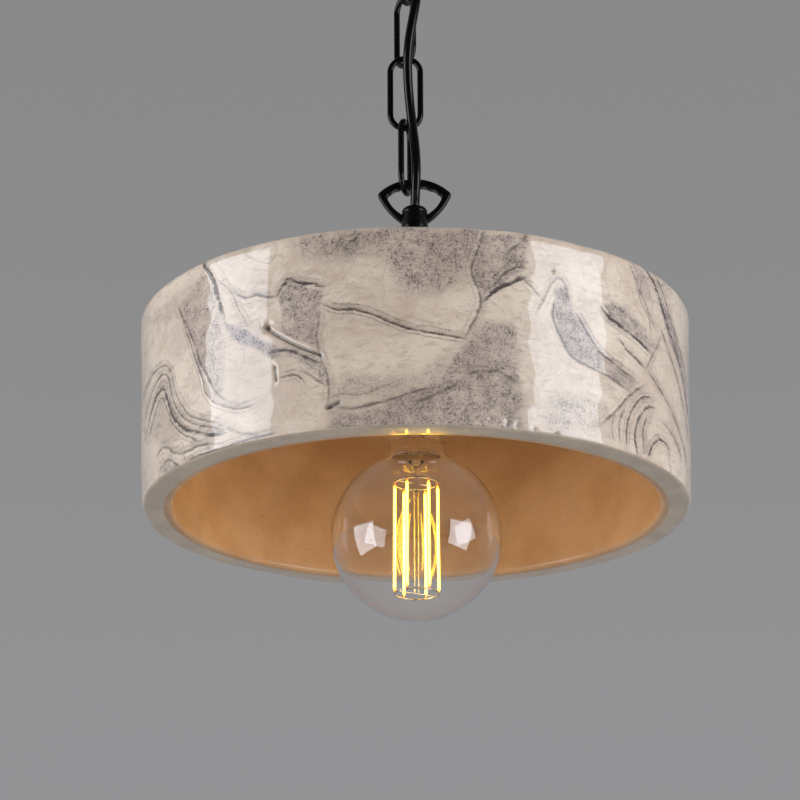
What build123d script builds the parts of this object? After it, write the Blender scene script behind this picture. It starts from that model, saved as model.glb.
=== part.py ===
from math import asin, cos, pi, radians, sin, sqrt, tan
import os

from build123d import *

# Pendant light: a thick ceramic drum on a chain, with a globe bulb below it.
# The origin is on the ceiling, at the middle of the crossbar. The lamp hangs down to -Z,
# and -Y is the side that faces the room. All sizes are in millimetres.

# Clearances
running_gap = 0.3
fit_gap = 0.1
thread_gap = 0.05

# Threaded tube, the same at the ceiling and in the lamp
tube_radius = 5.0
tube_bore = 3.5
nut_across_flats = 17.0
nut_thickness = 3.0

# Crossbar, a strap that is bent down in the middle
strap_half_length = 46.0
strap_half_width = 9.0
strap_thickness = 2.0
strap_drop = 19.0
strap_inner_half = 20.0
strap_outer_half = 25.0
slot_centre = 35.5
slot_length = 14.0
slot_half_width = 2.25
terminal_tab_length = 22.0
terminal_tab_half = 15.0
fixing_hole_radius = 1.5
earth_screw_x = 15.0
earth_hole_radius = 2.0
earth_head_radius = 3.5
earth_head_height = 2.2
earth_screw_spare = 2.0
earth_tag_radius = 3.6
earth_tag_reach = 8.5
earth_tag_overlap = 2.5
earth_tag_tail_width = 2.6
earth_tag_thickness = 0.8

# Terminal block on the crossbar's tab
block_half_length = 14.0
block_start = 12.0
block_width = 16.0
block_height = 11.0
block_corner_radius = 1.5
block_hole_radius = 1.6
pole_pitch = 9.0
pole_rise = 4.62
pole_radius = 2.2
pole_bore = 1.5
pole_inset = 1.0
terminal_screw_radius = 1.4
terminal_screw_inset = 4.0
terminal_screw_sunk = 2.5
terminal_head_height = 1.2
terminal_screw_length = 2.8
fixing_head_radius = 2.6
fixing_head_height = 1.6
fixing_shank_radius = 1.4
fixing_screw_spare = 3.0

# Canopy
canopy_radius = 55.0
canopy_depth = 28.0
canopy_wall = 1.2
canopy_edge_radius = 9.0
canopy_washer_radius = 12.0
canopy_washer_thickness = 1.5
lock_washer_radius = 8.5
lock_washer_thickness = 1.0

# Grip on the cord, at the top of the ceiling's tube
grip_radius = 6.2
grip_height = 6.0
grip_overlap = 2.5
grip_chamfer = 1.2

# Cores from the grip to the terminals
core_circle = 1.5
core_rise = 3.0
core_lean = 0.6
core_dip = 0.7
core_run_in = 4.0
core_droop = 0.2
core_tag_y = 9.0

# Fan-shaped loop with a toothed bar and a collar
loop_radius = 29.1
loop_notch_radius = 24.6
loop_tooth_height = 0.5
loop_half_width = 21.3
loop_depth = 5.0
loop_edge_radius = 1.5
loop_corner_radius = 2.3
notch_pitch = 5.0
notch_round = 3.4
arm_outer_mid = (16.6, 11.4)
arm_outer_end = (7.0, 2.0)
window_half_width = 15.8
arm_inner_mid = (13.3, 13.2)
arm_inner_end = (7.0, 7.4)
collar_height = 11.8
collar_base_radius = 7.7
collar_top_radius = 7.3
collar_dome_radius = 5.4
collar_shoulder_share = 0.7
collar_dome_middle = (0.94, 0.9)
collar_thread_depth = 6.3
collar_floor = 1.2
cord_hole_radius = 3.0
cord_mouth_radius = 4.8
grub_screw_radius = 2.0
grub_screw_height = 4.0
grub_socket_radius = 1.1
grub_socket_depth = 1.2

# Chain
wire_radius = 1.75
link_length = 47.0
link_width = 20.8
link_seam = 0.25
bar_seat_gap = 1.0
link_azimuths = {1: 73.0, 2: 0.0, 3: -57.0, 4: 65.0}
seam_sides = {1: 1, 2: 1, 3: -1, 4: 1}

# Cord, which hangs beside the chain from collar to collar
cord_radius = 2.7
core_radius = 0.9
cord_points = [
    (0.0, 0.0, -36.3),
    (0.0, 0.0, -42.2),
    (0.8, -7.3, -53.0),
    (1.5, -8.1, -65.0),
    (2.3, -9.3, -76.5),
    (2.4, -10.9, -88.0),
    (1.5, -12.3, -99.5),
    (-0.5, -12.8, -111.0),
    (-2.6, -12.7, -123.0),
    (-3.7, -11.4, -135.0),
    (-3.5, -8.6, -147.0),
    (-2.6, -6.6, -159.5),
    (-1.3, -5.9, -172.5),
    (0.3, -6.3, -185.5),
    (1.1, -7.7, -198.5),
    (0.8, -7.3, -212.4),
    (0.0, 0.0, -223.2),
    (0.0, 0.0, -229.1),
]

# Hidden sleeve and washers above the shade
sleeve_length = 54.6
sleeve_radius = 7.5
sleeve_chamfer = 0.5
top_washer_radius = 19.0
top_washer_thickness = 1.5
rubber_radius = 21.0
rubber_thickness = 1.5
bottom_washer_radius = 17.0
bottom_washer_thickness = 1.2

# Ceramic shade
shade_height = 111.6
shade_top_radius = 154.5
shade_rim_radius = 152.5
shade_wall = 17.05
shade_roof = 15.6
shade_top_round = 5.0
shade_rim_round = 2.5
shade_inner_round = 12.0
shade_hole_gap = 0.5

# Lampholder
holder_height = 40.8
holder_radius = 20.0
holder_wall = 1.7
holder_neck_radius = 8.0
holder_neck_height = 2.4
holder_cap_height = 22.8
holder_shoulder = 4.5
holder_inside_shoulder = 3.6
holder_lip_radius = 14.9
holder_lip_bevel = 2.0
holder_lip_thickness = 1.8
holder_lip_slope = 1.4
skirt_neck_height = 5.7
insert_drop = 9.3
insert_disc = 2.5
insert_wall = 1.8
shell_bore = 13.5
shell_thickness = 0.4
shell_length = 21.5
shell_flange_bore = 9.0
contact_half_length = 7.0
contact_half_width = 2.5
contact_thickness = 0.5
contact_boss_radius = 2.5
live_screw_x = 5.0
neutral_screw_x = -11.3
holder_screw_radius = 2.1
holder_screw_head = 1.8
holder_shank_radius = 1.2
holder_core_x = 1.2
holder_core_rise = 1.6
holder_core_gap = 0.42

# Bulb
globe_radius = 47.5
globe_below_rim = 14.5
glass_wall = 0.8
neck_radius = 15.5
neck_blend = 12.0
cap_length = 26.0
cap_skirt_length = 5.0
cap_skirt_radius = 13.0
cap_crest_radius = 13.2
cap_root_radius = 12.1
cap_wall = 0.35
cap_pitch = 3.6
cap_turns = 4
cap_thread_start = 0.6
cap_thread_flank = 0.8
cap_thread_land = 1.0
cap_cone_radius = 10.5
cap_cone_height = 1.2
tip_radius = 4.5
tip_height = 1.6
tip_round = 1.0
insulator_margin = 1.0
stem_inset = 0.8
stem_radius = 4.5
stem_wall = 1.0
stem_flare_height = 6.5
stem_flare_inside = 5.0
stem_flare_wall = 1.2
stem_taper = 3.0
stem_rod_radius = 1.8
stem_tube_end = 26.0
stem_rod_end = 12.0
ring_wire_radius = 0.5
spoke_radius = 0.35
spoke_turn = 30.0
upper_ring_radius = 12.0
upper_ring_height = 16.3
lower_ring_radius = 12.3
lower_ring_drop = 47.6
filament_radius = 0.7
filament_tab_radius = 0.42
filament_length = 59.0
filament_count = 6
filament_turn = 5.0
centre_wire_radius = 0.35
centre_wire_x = 1.1
lead_wire_x = 1.6
driver_width = 12.0
driver_height = 14.0
driver_thickness = 1.2
driver_gap = 1.2
driver_part_spots = [(-2.5, 5.3), (2.8, 8.3)]
driver_part_width = 3.6
driver_part_height = 3.2
driver_part_depth = 2.2

# Heights that follow from the sizes above, from the ceiling down
strap_top = -strap_drop
lock_nut_top = strap_top + lock_washer_thickness + nut_thickness
ceiling_tube_top = lock_nut_top + grip_overlap
grip_top = lock_nut_top + grip_height
upper_collar = -(canopy_depth + canopy_washer_thickness)
chain_x = -notch_pitch
bar_floor = sqrt(loop_notch_radius**2 - notch_pitch**2)
seat_drop = bar_floor - wire_radius - bar_seat_gap
link_span = link_length - 2 * wire_radius
link_crossing = 2 * wire_radius + running_gap
bend_radius = link_width / 2 - wire_radius
link_tops = {4: upper_collar - seat_drop}
for number in (3, 2, 1):
    link_tops[number] = link_tops[number + 1] - link_span + link_crossing
lower_collar = link_tops[1] - link_span - seat_drop
shade_top = lower_collar - sleeve_length - top_washer_thickness - rubber_thickness
shade_rim = shade_top - shade_height
roof_under = shade_top - shade_roof
nut_top = roof_under - rubber_thickness - bottom_washer_thickness
holder_top = nut_top - nut_thickness
holder_lip = holder_top - holder_height
cap_edge = holder_top - holder_cap_height
skirt_neck_top = cap_edge + skirt_neck_height
insert_top = holder_top - insert_drop
insert_under = insert_top - insert_disc
tip_top = insert_under - 2 * contact_thickness - running_gap
cap_bottom = tip_top - cap_length
globe_centre = shade_rim - globe_below_rim
cap_inside_top = holder_top - holder_neck_height - holder_wall


def turned(*points):
    # a solid turned about the lamp's axis, from (radius, height) points
    with BuildSketch(Plane.XZ) as outline:
        with BuildLine():
            Polyline(*points, close=True)
        make_face()
    revolve(outline.sketch, axis=Axis.Z)


def tube(low, high, outer, bore=0.0, mode=Mode.ADD):
    with BuildSketch(Plane.XY.offset(low)) as section:
        Circle(outer)
        if bore > 0:
            Circle(bore, mode=Mode.SUBTRACT)
    extrude(section.sketch, amount=high - low, mode=mode)


def hex_nut(low, thickness, across_flats, bore):
    with BuildSketch(Plane.XY.offset(low)) as section:
        RegularPolygon(across_flats / 2, 6, major_radius=False)
        Circle(bore, mode=Mode.SUBTRACT)
    extrude(section.sketch, amount=thickness)


def screw(x, y, head_low, head_radius, head_height, shank_radius, shank_length):
    # a slotted screw whose head is up
    slot_width = 0.35 * head_radius
    slot_depth = 0.4 * head_height
    with BuildSketch(Plane.XY.offset(head_low)) as head:
        with Locations((x, y)):
            Circle(head_radius)
    extrude(head.sketch, amount=head_height)
    with BuildSketch(Plane.XY.offset(head_low)) as shank:
        with Locations((x, y)):
            Circle(shank_radius)
    extrude(shank.sketch, amount=-shank_length)
    with BuildSketch(Plane.XY.offset(head_low + head_height)) as slot:
        with Locations((x, y)):
            Rectangle(2 * head_radius, slot_width)
    extrude(slot.sketch, amount=-slot_depth, mode=Mode.SUBTRACT)


def corner_radii(points):
    # as large as the two runs at each corner allow
    radii = []
    for before, here, after in zip(points, points[1:], points[2:]):
        first = Vector(*here) - Vector(*before)
        second = Vector(*after) - Vector(*here)
        half_turn = radians(first.get_angle(second)) / 2
        radii.append(0.45 * min(first.length, second.length) / tan(half_turn))
    return radii


def swept_tube(points, radii, radius):
    with BuildLine() as route:
        FilletPolyline(*points, radius=radii)
    path = route.wire()
    with BuildSketch(Plane(origin=path @ 0, z_dir=path % 0)) as section:
        Circle(radius)
    sweep(section.sketch, path=path)
    return path.length


# Ceiling fitting

with BuildPart() as ceiling_crossbar:
    with BuildSketch(Plane.XZ):
        with BuildLine() as strap_line:
            Polyline(
                (-strap_half_length, 0),
                (-strap_outer_half, 0),
                (-strap_inner_half, -strap_drop),
                (strap_inner_half, -strap_drop),
                (strap_outer_half, 0),
                (strap_half_length, 0),
            )
            offset(amount=strap_thickness, kind=Kind.INTERSECTION, side=Side.RIGHT)
        make_face()
    extrude(amount=strap_half_width, both=True)
    with BuildSketch(Plane.XY.offset(strap_top)):
        with Locations((0, strap_half_width + terminal_tab_length / 2)):
            Rectangle(2 * terminal_tab_half, terminal_tab_length)
    extrude(amount=-strap_thickness)
    with BuildSketch():
        with Locations((-slot_centre, 0), (slot_centre, 0)):
            SlotOverall(slot_length, 2 * slot_half_width)
    extrude(amount=-strap_thickness, mode=Mode.SUBTRACT)
    with BuildSketch(Plane.XY.offset(strap_top)):
        Circle(tube_radius + thread_gap)
        with Locations((earth_screw_x, 0)):
            Circle(earth_hole_radius)
        with Locations((pole_pitch / 2, block_start + block_width / 2)):
            Circle(fixing_hole_radius)
    extrude(amount=-strap_thickness, mode=Mode.SUBTRACT)

with BuildPart() as ceiling_tube:
    tube(upper_collar - collar_thread_depth + fit_gap, ceiling_tube_top, tube_radius, tube_bore)

with BuildPart() as tube_lock_washer:
    tube(strap_top, strap_top + lock_washer_thickness, lock_washer_radius, tube_radius + fit_gap)

with BuildPart() as tube_lock_nut:
    hex_nut(strap_top + lock_washer_thickness, nut_thickness, nut_across_flats, tube_radius + thread_gap)

with BuildPart() as canopy_cup:
    tube(-canopy_depth, 0, canopy_radius)
    fillet(canopy_cup.edges().group_by(Axis.Z)[0], canopy_edge_radius)
    offset(amount=-canopy_wall, openings=canopy_cup.faces().sort_by(Axis.Z)[-1])
    tube(-canopy_depth, 0, tube_radius + fit_gap, mode=Mode.SUBTRACT)

with BuildPart() as canopy_washer:
    tube(upper_collar, -canopy_depth, canopy_washer_radius, tube_radius + fit_gap)

with BuildPart() as earth_screw:
    screw(earth_screw_x, 0, strap_top + earth_tag_thickness, earth_head_radius, earth_head_height,
          earth_hole_radius - thread_gap, earth_tag_thickness + strap_thickness + earth_screw_spare)

with BuildPart() as earth_ring_tag:
    with BuildSketch(Plane.XY.offset(strap_top)):
        with Locations((earth_screw_x, 0)):
            Circle(earth_tag_radius)
        with Locations((earth_screw_x, (earth_tag_overlap + earth_tag_reach) / 2)):
            Rectangle(earth_tag_tail_width, earth_tag_reach - earth_tag_overlap)
        with Locations((earth_screw_x, 0)):
            Circle(earth_hole_radius + fit_gap, mode=Mode.SUBTRACT)
    extrude(amount=earth_tag_thickness)

block_middle = block_start + block_width / 2
pole_height = strap_top + pole_rise
pole_xs = [-pole_pitch, 0, pole_pitch]
screw_ys = [block_start + terminal_screw_inset, block_start + block_width - terminal_screw_inset]

with BuildPart() as terminal_block:
    with BuildSketch(Plane.XY.offset(strap_top)):
        with Locations((0, block_middle)):
            Rectangle(2 * block_half_length, block_width)
    extrude(amount=block_height)
    fillet(terminal_block.edges().filter_by(Axis.Z), block_corner_radius)
    with BuildSketch(Plane.XZ.offset(-block_start)):
        with Locations(*[(x, pole_height) for x in pole_xs]):
            Circle(pole_radius + fit_gap)
    extrude(amount=-block_width, mode=Mode.SUBTRACT)
    with BuildSketch(Plane.XY.offset(strap_top + block_height)):
        with Locations(*[(x, y) for x in pole_xs for y in screw_ys]):
            Circle(terminal_screw_radius + fit_gap)
    extrude(amount=-(block_height - pole_rise), mode=Mode.SUBTRACT)
    with BuildSketch(Plane.XY.offset(strap_top)):
        with Locations((pole_pitch / 2, block_middle)):
            Circle(block_hole_radius)
    extrude(amount=block_height, mode=Mode.SUBTRACT)

with BuildPart() as terminal_sleeves:
    with BuildSketch(Plane.XZ.offset(-block_start - pole_inset)):
        with Locations(*[(x, pole_height) for x in pole_xs]):
            Circle(pole_radius)
            Circle(pole_bore, mode=Mode.SUBTRACT)
    extrude(amount=-(block_width - 2 * pole_inset))
    with BuildSketch(Plane.XY.offset(pole_height)):
        with Locations(*[(x, y) for x in pole_xs for y in screw_ys]):
            Circle(terminal_screw_radius + thread_gap)
    extrude(amount=pole_radius, mode=Mode.SUBTRACT)

with BuildPart() as terminal_screws:
    for x in pole_xs:
        for y in screw_ys:
            screw(x, y, strap_top + block_height - terminal_screw_sunk, terminal_screw_radius,
                  terminal_head_height, terminal_screw_radius - thread_gap, terminal_screw_length)

with BuildPart() as terminal_fixing_screw:
    screw(pole_pitch / 2, block_middle, strap_top + block_height, fixing_head_radius,
          fixing_head_height, fixing_shank_radius, block_height + fixing_screw_spare)

with BuildPart() as cord_grip:
    tube(lock_nut_top, grip_top, grip_radius, cord_radius + fit_gap)
    tube(lock_nut_top, ceiling_tube_top + fit_gap, tube_radius + fit_gap, mode=Mode.SUBTRACT)
    chamfer(cord_grip.edges().group_by(Axis.Z)[-1].sort_by(SortBy.LENGTH)[-1], grip_chamfer)

upper_cord_end = cord_points[0][2]
lower_cord_end = cord_points[-1][2]
with BuildPart() as ceiling_cord_tail:
    tube(upper_cord_end, grip_top, cord_radius)

with BuildPart() as ceiling_cores:
    core_turns = [radians(turn) for turn in (210, 90, -30)]
    core_starts = [(core_circle * cos(turn), core_circle * sin(turn)) for turn in core_turns]
    core_ends = [
        (-pole_pitch, block_start + pole_inset, pole_height),
        (0, block_start + pole_inset, pole_height),
        (earth_screw_x, core_tag_y, strap_top + earth_tag_thickness + core_radius),
    ]
    for (x, y), end in zip(core_starts, core_ends):
        points = [
            (x, y, grip_top),
            (x, y, grip_top + core_rise),
            (x + core_lean * (end[0] - x), core_lean * end[1], grip_top + core_dip * core_rise),
            (end[0], end[1] - core_run_in, end[2] + core_droop),
            end,
        ]
        swept_tube(points, corner_radii(points), core_radius)


def make_loop(collar_base, up):
    # the fan is drawn in the XZ plane; up is 1 for the lamp's loop and -1 for the ceiling's
    plane = Plane(origin=(0, 0, collar_base), x_dir=(1, 0, 0), z_dir=(0, -up, 0))
    corner = (loop_half_width, sqrt(loop_radius**2 - loop_half_width**2))
    tooth_radius = loop_notch_radius - loop_tooth_height
    collar_shoulder = collar_shoulder_share * collar_height
    window_corner = (window_half_width, sqrt(tooth_radius**2 - window_half_width**2))
    with BuildPart() as loop:
        with BuildSketch(plane) as fan:
            with BuildLine():
                ThreePointArc((-corner[0], corner[1]), (0, loop_radius), corner)
                ThreePointArc(corner, arm_outer_mid, arm_outer_end)
                Line(arm_outer_end, (-arm_outer_end[0], arm_outer_end[1]))
                ThreePointArc(
                    (-arm_outer_end[0], arm_outer_end[1]),
                    (-arm_outer_mid[0], arm_outer_mid[1]),
                    (-corner[0], corner[1]),
                )
            make_face()
            with BuildLine():
                ThreePointArc((-window_corner[0], window_corner[1]), (0, tooth_radius), window_corner)
                ThreePointArc(window_corner, arm_inner_mid, arm_inner_end)
                Line(arm_inner_end, (-arm_inner_end[0], arm_inner_end[1]))
                ThreePointArc(
                    (-arm_inner_end[0], arm_inner_end[1]),
                    (-arm_inner_mid[0], arm_inner_mid[1]),
                    (-window_corner[0], window_corner[1]),
                )
            make_face(mode=Mode.SUBTRACT)
            fillet(fan.vertices(), loop_corner_radius)
        extrude(amount=loop_depth / 2, both=True)
        fillet(loop.faces().filter_by(Axis.Y).edges(), loop_edge_radius)
        notch_xs = [number * notch_pitch for number in (-2, -1, 0, 1, 2)]
        with BuildSketch(plane):
            for x in notch_xs:
                floor = sqrt(loop_notch_radius**2 - x**2)
                with Locations((x, floor - notch_round)):
                    Circle(notch_round)
        extrude(amount=loop_depth, both=True, mode=Mode.SUBTRACT)
        with BuildSketch(plane):
            with BuildLine():
                Line((0, 0), (collar_base_radius, 0))
                Line((collar_base_radius, 0), (collar_top_radius, collar_shoulder))
                ThreePointArc(
                    (collar_top_radius, collar_shoulder),
                    (collar_dome_middle[0] * collar_top_radius, collar_dome_middle[1] * collar_height),
                    (collar_dome_radius, collar_height),
                )
                Line((collar_dome_radius, collar_height), (0, collar_height))
                Line((0, collar_height), (0, 0))
            make_face()
        revolve(axis=Axis.Z)
        with BuildSketch(plane):
            with BuildLine():
                Polyline(
                    (0, 0),
                    (tube_radius + thread_gap, 0),
                    (tube_radius + thread_gap, collar_thread_depth),
                    (cord_hole_radius, collar_thread_depth),
                    (cord_hole_radius, collar_thread_depth + collar_floor),
                    (cord_mouth_radius, collar_height),
                    (0, collar_height),
                    close=True,
                )
            make_face()
        revolve(axis=Axis.Z, mode=Mode.SUBTRACT)
        with BuildSketch(Plane(origin=(0, 0, collar_base + up * grub_screw_height), z_dir=(0, 1, 0))):
            Circle(grub_screw_radius + thread_gap)
        extrude(amount=2 * collar_base_radius, mode=Mode.SUBTRACT)
    return loop


def make_grub_screw(collar_base, up):
    middle = Plane(origin=(0, 0, collar_base + up * grub_screw_height), z_dir=(0, 1, 0))
    with BuildPart() as grub_screw:
        with BuildSketch(middle.offset(tube_radius + thread_gap)):
            Circle(grub_screw_radius)
        extrude(amount=collar_top_radius - tube_radius)
        with BuildSketch(middle.offset(collar_top_radius + thread_gap)):
            RegularPolygon(grub_socket_radius, 6)
        extrude(amount=-grub_socket_depth, mode=Mode.SUBTRACT)
    return grub_screw


upper_loop = make_loop(upper_collar, -1)
upper_grub_screw = make_grub_screw(upper_collar, -1)


def make_link(number):
    # one bent wire with a butt seam in the middle of a leg
    azimuth = radians(link_azimuths[number])
    side = seam_sides[number]
    top = link_tops[number]
    along = Vector(side * cos(azimuth), side * sin(azimuth), 0)
    middle = Plane(origin=(chain_x, 0, top - link_span / 2), x_dir=along, z_dir=along.cross(Vector(0, 0, 1)))
    leg = link_span / 2 - bend_radius
    half_seam = link_seam / 2
    with BuildPart() as link:
        with BuildLine(middle) as wire:
            Line((bend_radius, half_seam), (bend_radius, leg))
            ThreePointArc((bend_radius, leg), (0, leg + bend_radius), (-bend_radius, leg))
            Line((-bend_radius, leg), (-bend_radius, -leg))
            ThreePointArc((-bend_radius, -leg), (0, -leg - bend_radius), (bend_radius, -leg))
            Line((bend_radius, -leg), (bend_radius, -half_seam))
        with BuildSketch(Plane(origin=wire.wire() @ 0, z_dir=wire.wire() % 0)):
            Circle(wire_radius)
        sweep(path=wire.wire())
    return link


chain_links = {number: make_link(number) for number in link_azimuths}

cord_radii = corner_radii(cord_points)
print("cord corner radii, mm:", [round(radius, 1) for radius in cord_radii])
with BuildPart() as cord:
    cord_length = swept_tube(cord_points, cord_radii, cord_radius)
print("cord length, mm:", round(cord_length, 1))
print("cord volume over section x length:", round(cord.part.volume / (pi * cord_radius**2 * cord_length), 4))

# Lamp

lower_loop = make_loop(lower_collar, 1)
lower_grub_screw = make_grub_screw(lower_collar, 1)

with BuildPart() as spacer_sleeve:
    tube(lower_collar - sleeve_length, lower_collar, sleeve_radius, tube_radius + fit_gap)
    chamfer(spacer_sleeve.edges().group_by(Axis.Z)[0].sort_by(SortBy.LENGTH)[-1], sleeve_chamfer)

with BuildPart() as lamp_tube:
    tube(cap_inside_top, lower_collar + collar_thread_depth - fit_gap, tube_radius, tube_bore)

with BuildPart() as lamp_cord_tail:
    tube(cap_inside_top, lower_cord_end, cord_radius)

with BuildPart() as top_washer:
    tube(shade_top + rubber_thickness, lower_collar - sleeve_length, top_washer_radius,
         tube_radius + fit_gap)

with BuildPart() as top_rubber_washer:
    tube(shade_top, shade_top + rubber_thickness, rubber_radius, tube_radius + fit_gap)

with BuildPart() as ceramic_shade:
    with BuildSketch(Plane.XZ):
        with BuildLine():
            Polyline(
                (0, shade_rim),
                (shade_rim_radius, shade_rim),
                (shade_top_radius, shade_top),
                (0, shade_top),
                close=True,
            )
        make_face()
    revolve(axis=Axis.Z)
    with BuildSketch(Plane.XZ) as hollow:
        with BuildLine():
            Polyline(
                (0, shade_rim),
                (shade_rim_radius - shade_wall, shade_rim),
                (shade_top_radius - shade_wall, roof_under),
                (0, roof_under),
                close=True,
            )
        make_face()
        fillet(hollow.vertices().sort_by(lambda corner: corner.X + corner.Y)[-1], shade_inner_round)
    revolve(axis=Axis.Z, mode=Mode.SUBTRACT)
    fillet(ceramic_shade.edges().group_by(Axis.Z)[-1], shade_top_round)
    fillet(ceramic_shade.edges().group_by(Axis.Z)[0], shade_rim_round)
    tube(roof_under, shade_top, tube_radius + shade_hole_gap, mode=Mode.SUBTRACT)

with BuildPart() as bottom_rubber_washer:
    tube(roof_under - rubber_thickness, roof_under, rubber_radius, tube_radius + fit_gap)

with BuildPart() as bottom_washer:
    tube(nut_top, roof_under - rubber_thickness, bottom_washer_radius, tube_radius + fit_gap)

with BuildPart() as lamp_nut:
    hex_nut(holder_top, nut_thickness, nut_across_flats, tube_radius + thread_gap)

# Lampholder

with BuildPart() as holder_cap:
    turned(
        (tube_radius + thread_gap, holder_top),
        (holder_neck_radius, holder_top),
        (holder_neck_radius, holder_top - holder_neck_height),
        (holder_radius - holder_shoulder, holder_top - holder_neck_height),
        (holder_radius, holder_top - holder_neck_height - holder_shoulder),
        (holder_radius, cap_edge),
        (holder_radius - holder_wall, cap_edge),
        (holder_radius - holder_wall, cap_inside_top - holder_inside_shoulder),
        (holder_radius - holder_wall - holder_inside_shoulder, cap_inside_top),
        (tube_radius + thread_gap, cap_inside_top),
    )

skirt_neck_radius = holder_radius - holder_wall - fit_gap
with BuildPart() as holder_skirt:
    turned(
        (skirt_neck_radius, skirt_neck_top),
        (skirt_neck_radius, cap_edge),
        (holder_radius, cap_edge),
        (holder_radius, holder_lip + holder_lip_bevel),
        (holder_radius - 0.6 * holder_lip_bevel, holder_lip + 0.25 * holder_lip_bevel),
        (holder_radius - 1.1 * holder_lip_bevel, holder_lip),
        (holder_lip_radius, holder_lip),
        (holder_lip_radius, holder_lip + holder_lip_thickness),
        (skirt_neck_radius - holder_wall, holder_lip + holder_lip_thickness + holder_lip_slope),
        (skirt_neck_radius - holder_wall, skirt_neck_top),
    )

with BuildPart() as holder_insert:
    tube(insert_under, insert_top, skirt_neck_radius)
    tube(skirt_neck_top, insert_under, skirt_neck_radius, skirt_neck_radius - insert_wall)
    with BuildSketch(Plane.XY.offset(insert_under)):
        with Locations((live_screw_x, 0), (neutral_screw_x, 0)):
            Circle(holder_shank_radius + thread_gap)
    extrude(amount=insert_disc, mode=Mode.SUBTRACT)

with BuildPart() as thread_shell:
    tube(insert_under - shell_length, insert_under, shell_bore + shell_thickness, shell_bore)
    tube(insert_under - shell_thickness, insert_under, shell_bore, shell_flange_bore)

with BuildPart() as centre_contact:
    with BuildSketch(Plane.XY.offset(insert_under)):
        Rectangle(2 * contact_half_length, 2 * contact_half_width)
    extrude(amount=-contact_thickness)
    with BuildSketch(Plane.XY.offset(insert_under - contact_thickness)):
        Circle(contact_boss_radius)
    extrude(amount=-contact_thickness)

with BuildPart() as holder_screws:
    for x in (live_screw_x, neutral_screw_x):
        screw(x, 0, insert_top, holder_screw_radius, holder_screw_head, holder_shank_radius, insert_disc)

with BuildPart() as holder_cores:
    core_reach = holder_screw_radius + holder_core_gap
    core_runs = [(holder_core_x, live_screw_x - core_reach), (-holder_core_x, neutral_screw_x + core_reach)]
    for start, end in core_runs:
        points = [
            (start, 0, cap_inside_top),
            (start, 0, insert_top + holder_core_rise),
            (end, 0, insert_top + core_radius + fit_gap),
        ]
        swept_tube(points, corner_radii(points), core_radius)

# Bulb


def glass_body(globe, neck, blend):
    # the outline runs from the bottom of the globe round to the neck
    rise = sqrt((globe + blend) ** 2 - (neck + blend) ** 2)
    share = globe / (globe + blend)
    touch = (share * (neck + blend), globe_centre + share * rise)
    neck_end = (neck, globe_centre + rise)
    middle_angle = (asin(share * rise / globe) - pi / 2) / 2
    side = (globe * cos(middle_angle), globe_centre + globe * sin(middle_angle))
    towards = Vector(0, globe_centre) - Vector(neck + blend, neck_end[1])
    mid_way = (Vector(-1, 0) + towards.normalized()).normalized() * blend
    inner = (neck + blend + mid_way.X, neck_end[1] + mid_way.Y)
    in_cap = cap_skirt_radius - cap_wall - (neck_radius - neck)
    with BuildSketch(Plane.XZ) as outline:
        with BuildLine():
            ThreePointArc((0, globe_centre - globe), side, touch)
            ThreePointArc(touch, inner, neck_end)
            Line(neck_end, (in_cap, cap_bottom))
            Line((in_cap, cap_bottom), (in_cap, cap_bottom + cap_skirt_length))
            Line((in_cap, cap_bottom + cap_skirt_length), (0, cap_bottom + cap_skirt_length))
            Line((0, cap_bottom + cap_skirt_length), (0, globe_centre - globe))
        make_face()
    return outline.sketch


with BuildPart() as bulb_globe:
    revolve(glass_body(globe_radius, neck_radius, neck_blend), axis=Axis.Z)
    hollow = glass_body(globe_radius - glass_wall, neck_radius - glass_wall, neck_blend + glass_wall)
    revolve(hollow, axis=Axis.Z, mode=Mode.SUBTRACT)

thread_bottom = cap_bottom + cap_skirt_length + cap_thread_start
thread_top = thread_bottom + cap_turns * cap_pitch
cone_top = thread_top + cap_cone_height
with BuildPart() as bulb_screw_cap:
    outline = [(cap_skirt_radius, cap_bottom), (cap_skirt_radius, cap_bottom + cap_skirt_length)]
    for turn in range(cap_turns):
        low = thread_bottom + turn * cap_pitch
        outline += [
            (cap_root_radius, low),
            (cap_root_radius, low + cap_thread_flank),
            (cap_crest_radius, low + 2 * cap_thread_flank),
            (cap_crest_radius, low + 2 * cap_thread_flank + cap_thread_land),
        ]
    outline += [(cap_root_radius, thread_top), (cap_cone_radius, cone_top)]
    inside = [
        (cap_cone_radius - cap_wall, cone_top),
        (cap_root_radius - cap_wall, thread_top - cap_wall),
        (cap_root_radius - cap_wall, cap_bottom + cap_skirt_length + cap_wall),
        (cap_skirt_radius - cap_wall, cap_bottom + cap_skirt_length),
        (cap_skirt_radius - cap_wall, cap_bottom),
    ]
    turned(*outline, *inside)

with BuildPart() as bulb_cap_insulator:
    turned(
        (0, cone_top),
        (cap_cone_radius, cone_top),
        (tip_radius + insulator_margin, tip_top - tip_height),
        (0, tip_top - tip_height),
    )

with BuildPart() as bulb_tip_contact:
    tube(tip_top - tip_height, tip_top, tip_radius)
    fillet(bulb_tip_contact.edges().group_by(Axis.Z)[-1], tip_round)

stem_top = cap_bottom + stem_inset
stem_flare_radius = cap_skirt_radius - cap_wall - glass_wall
tube_end = shade_rim + stem_tube_end
rod_end = shade_rim + stem_rod_end
with BuildPart() as bulb_stem:
    turned(
        (0, stem_top - stem_flare_inside),
        (stem_radius - stem_wall, stem_top - stem_flare_inside),
        (stem_flare_radius - stem_flare_wall, stem_top),
        (stem_flare_radius, stem_top),
        (stem_radius, stem_top - stem_flare_height),
        (stem_radius, tube_end + stem_taper),
        (stem_rod_radius, tube_end),
        (stem_rod_radius, rod_end),
        (0, rod_end),
    )

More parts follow.
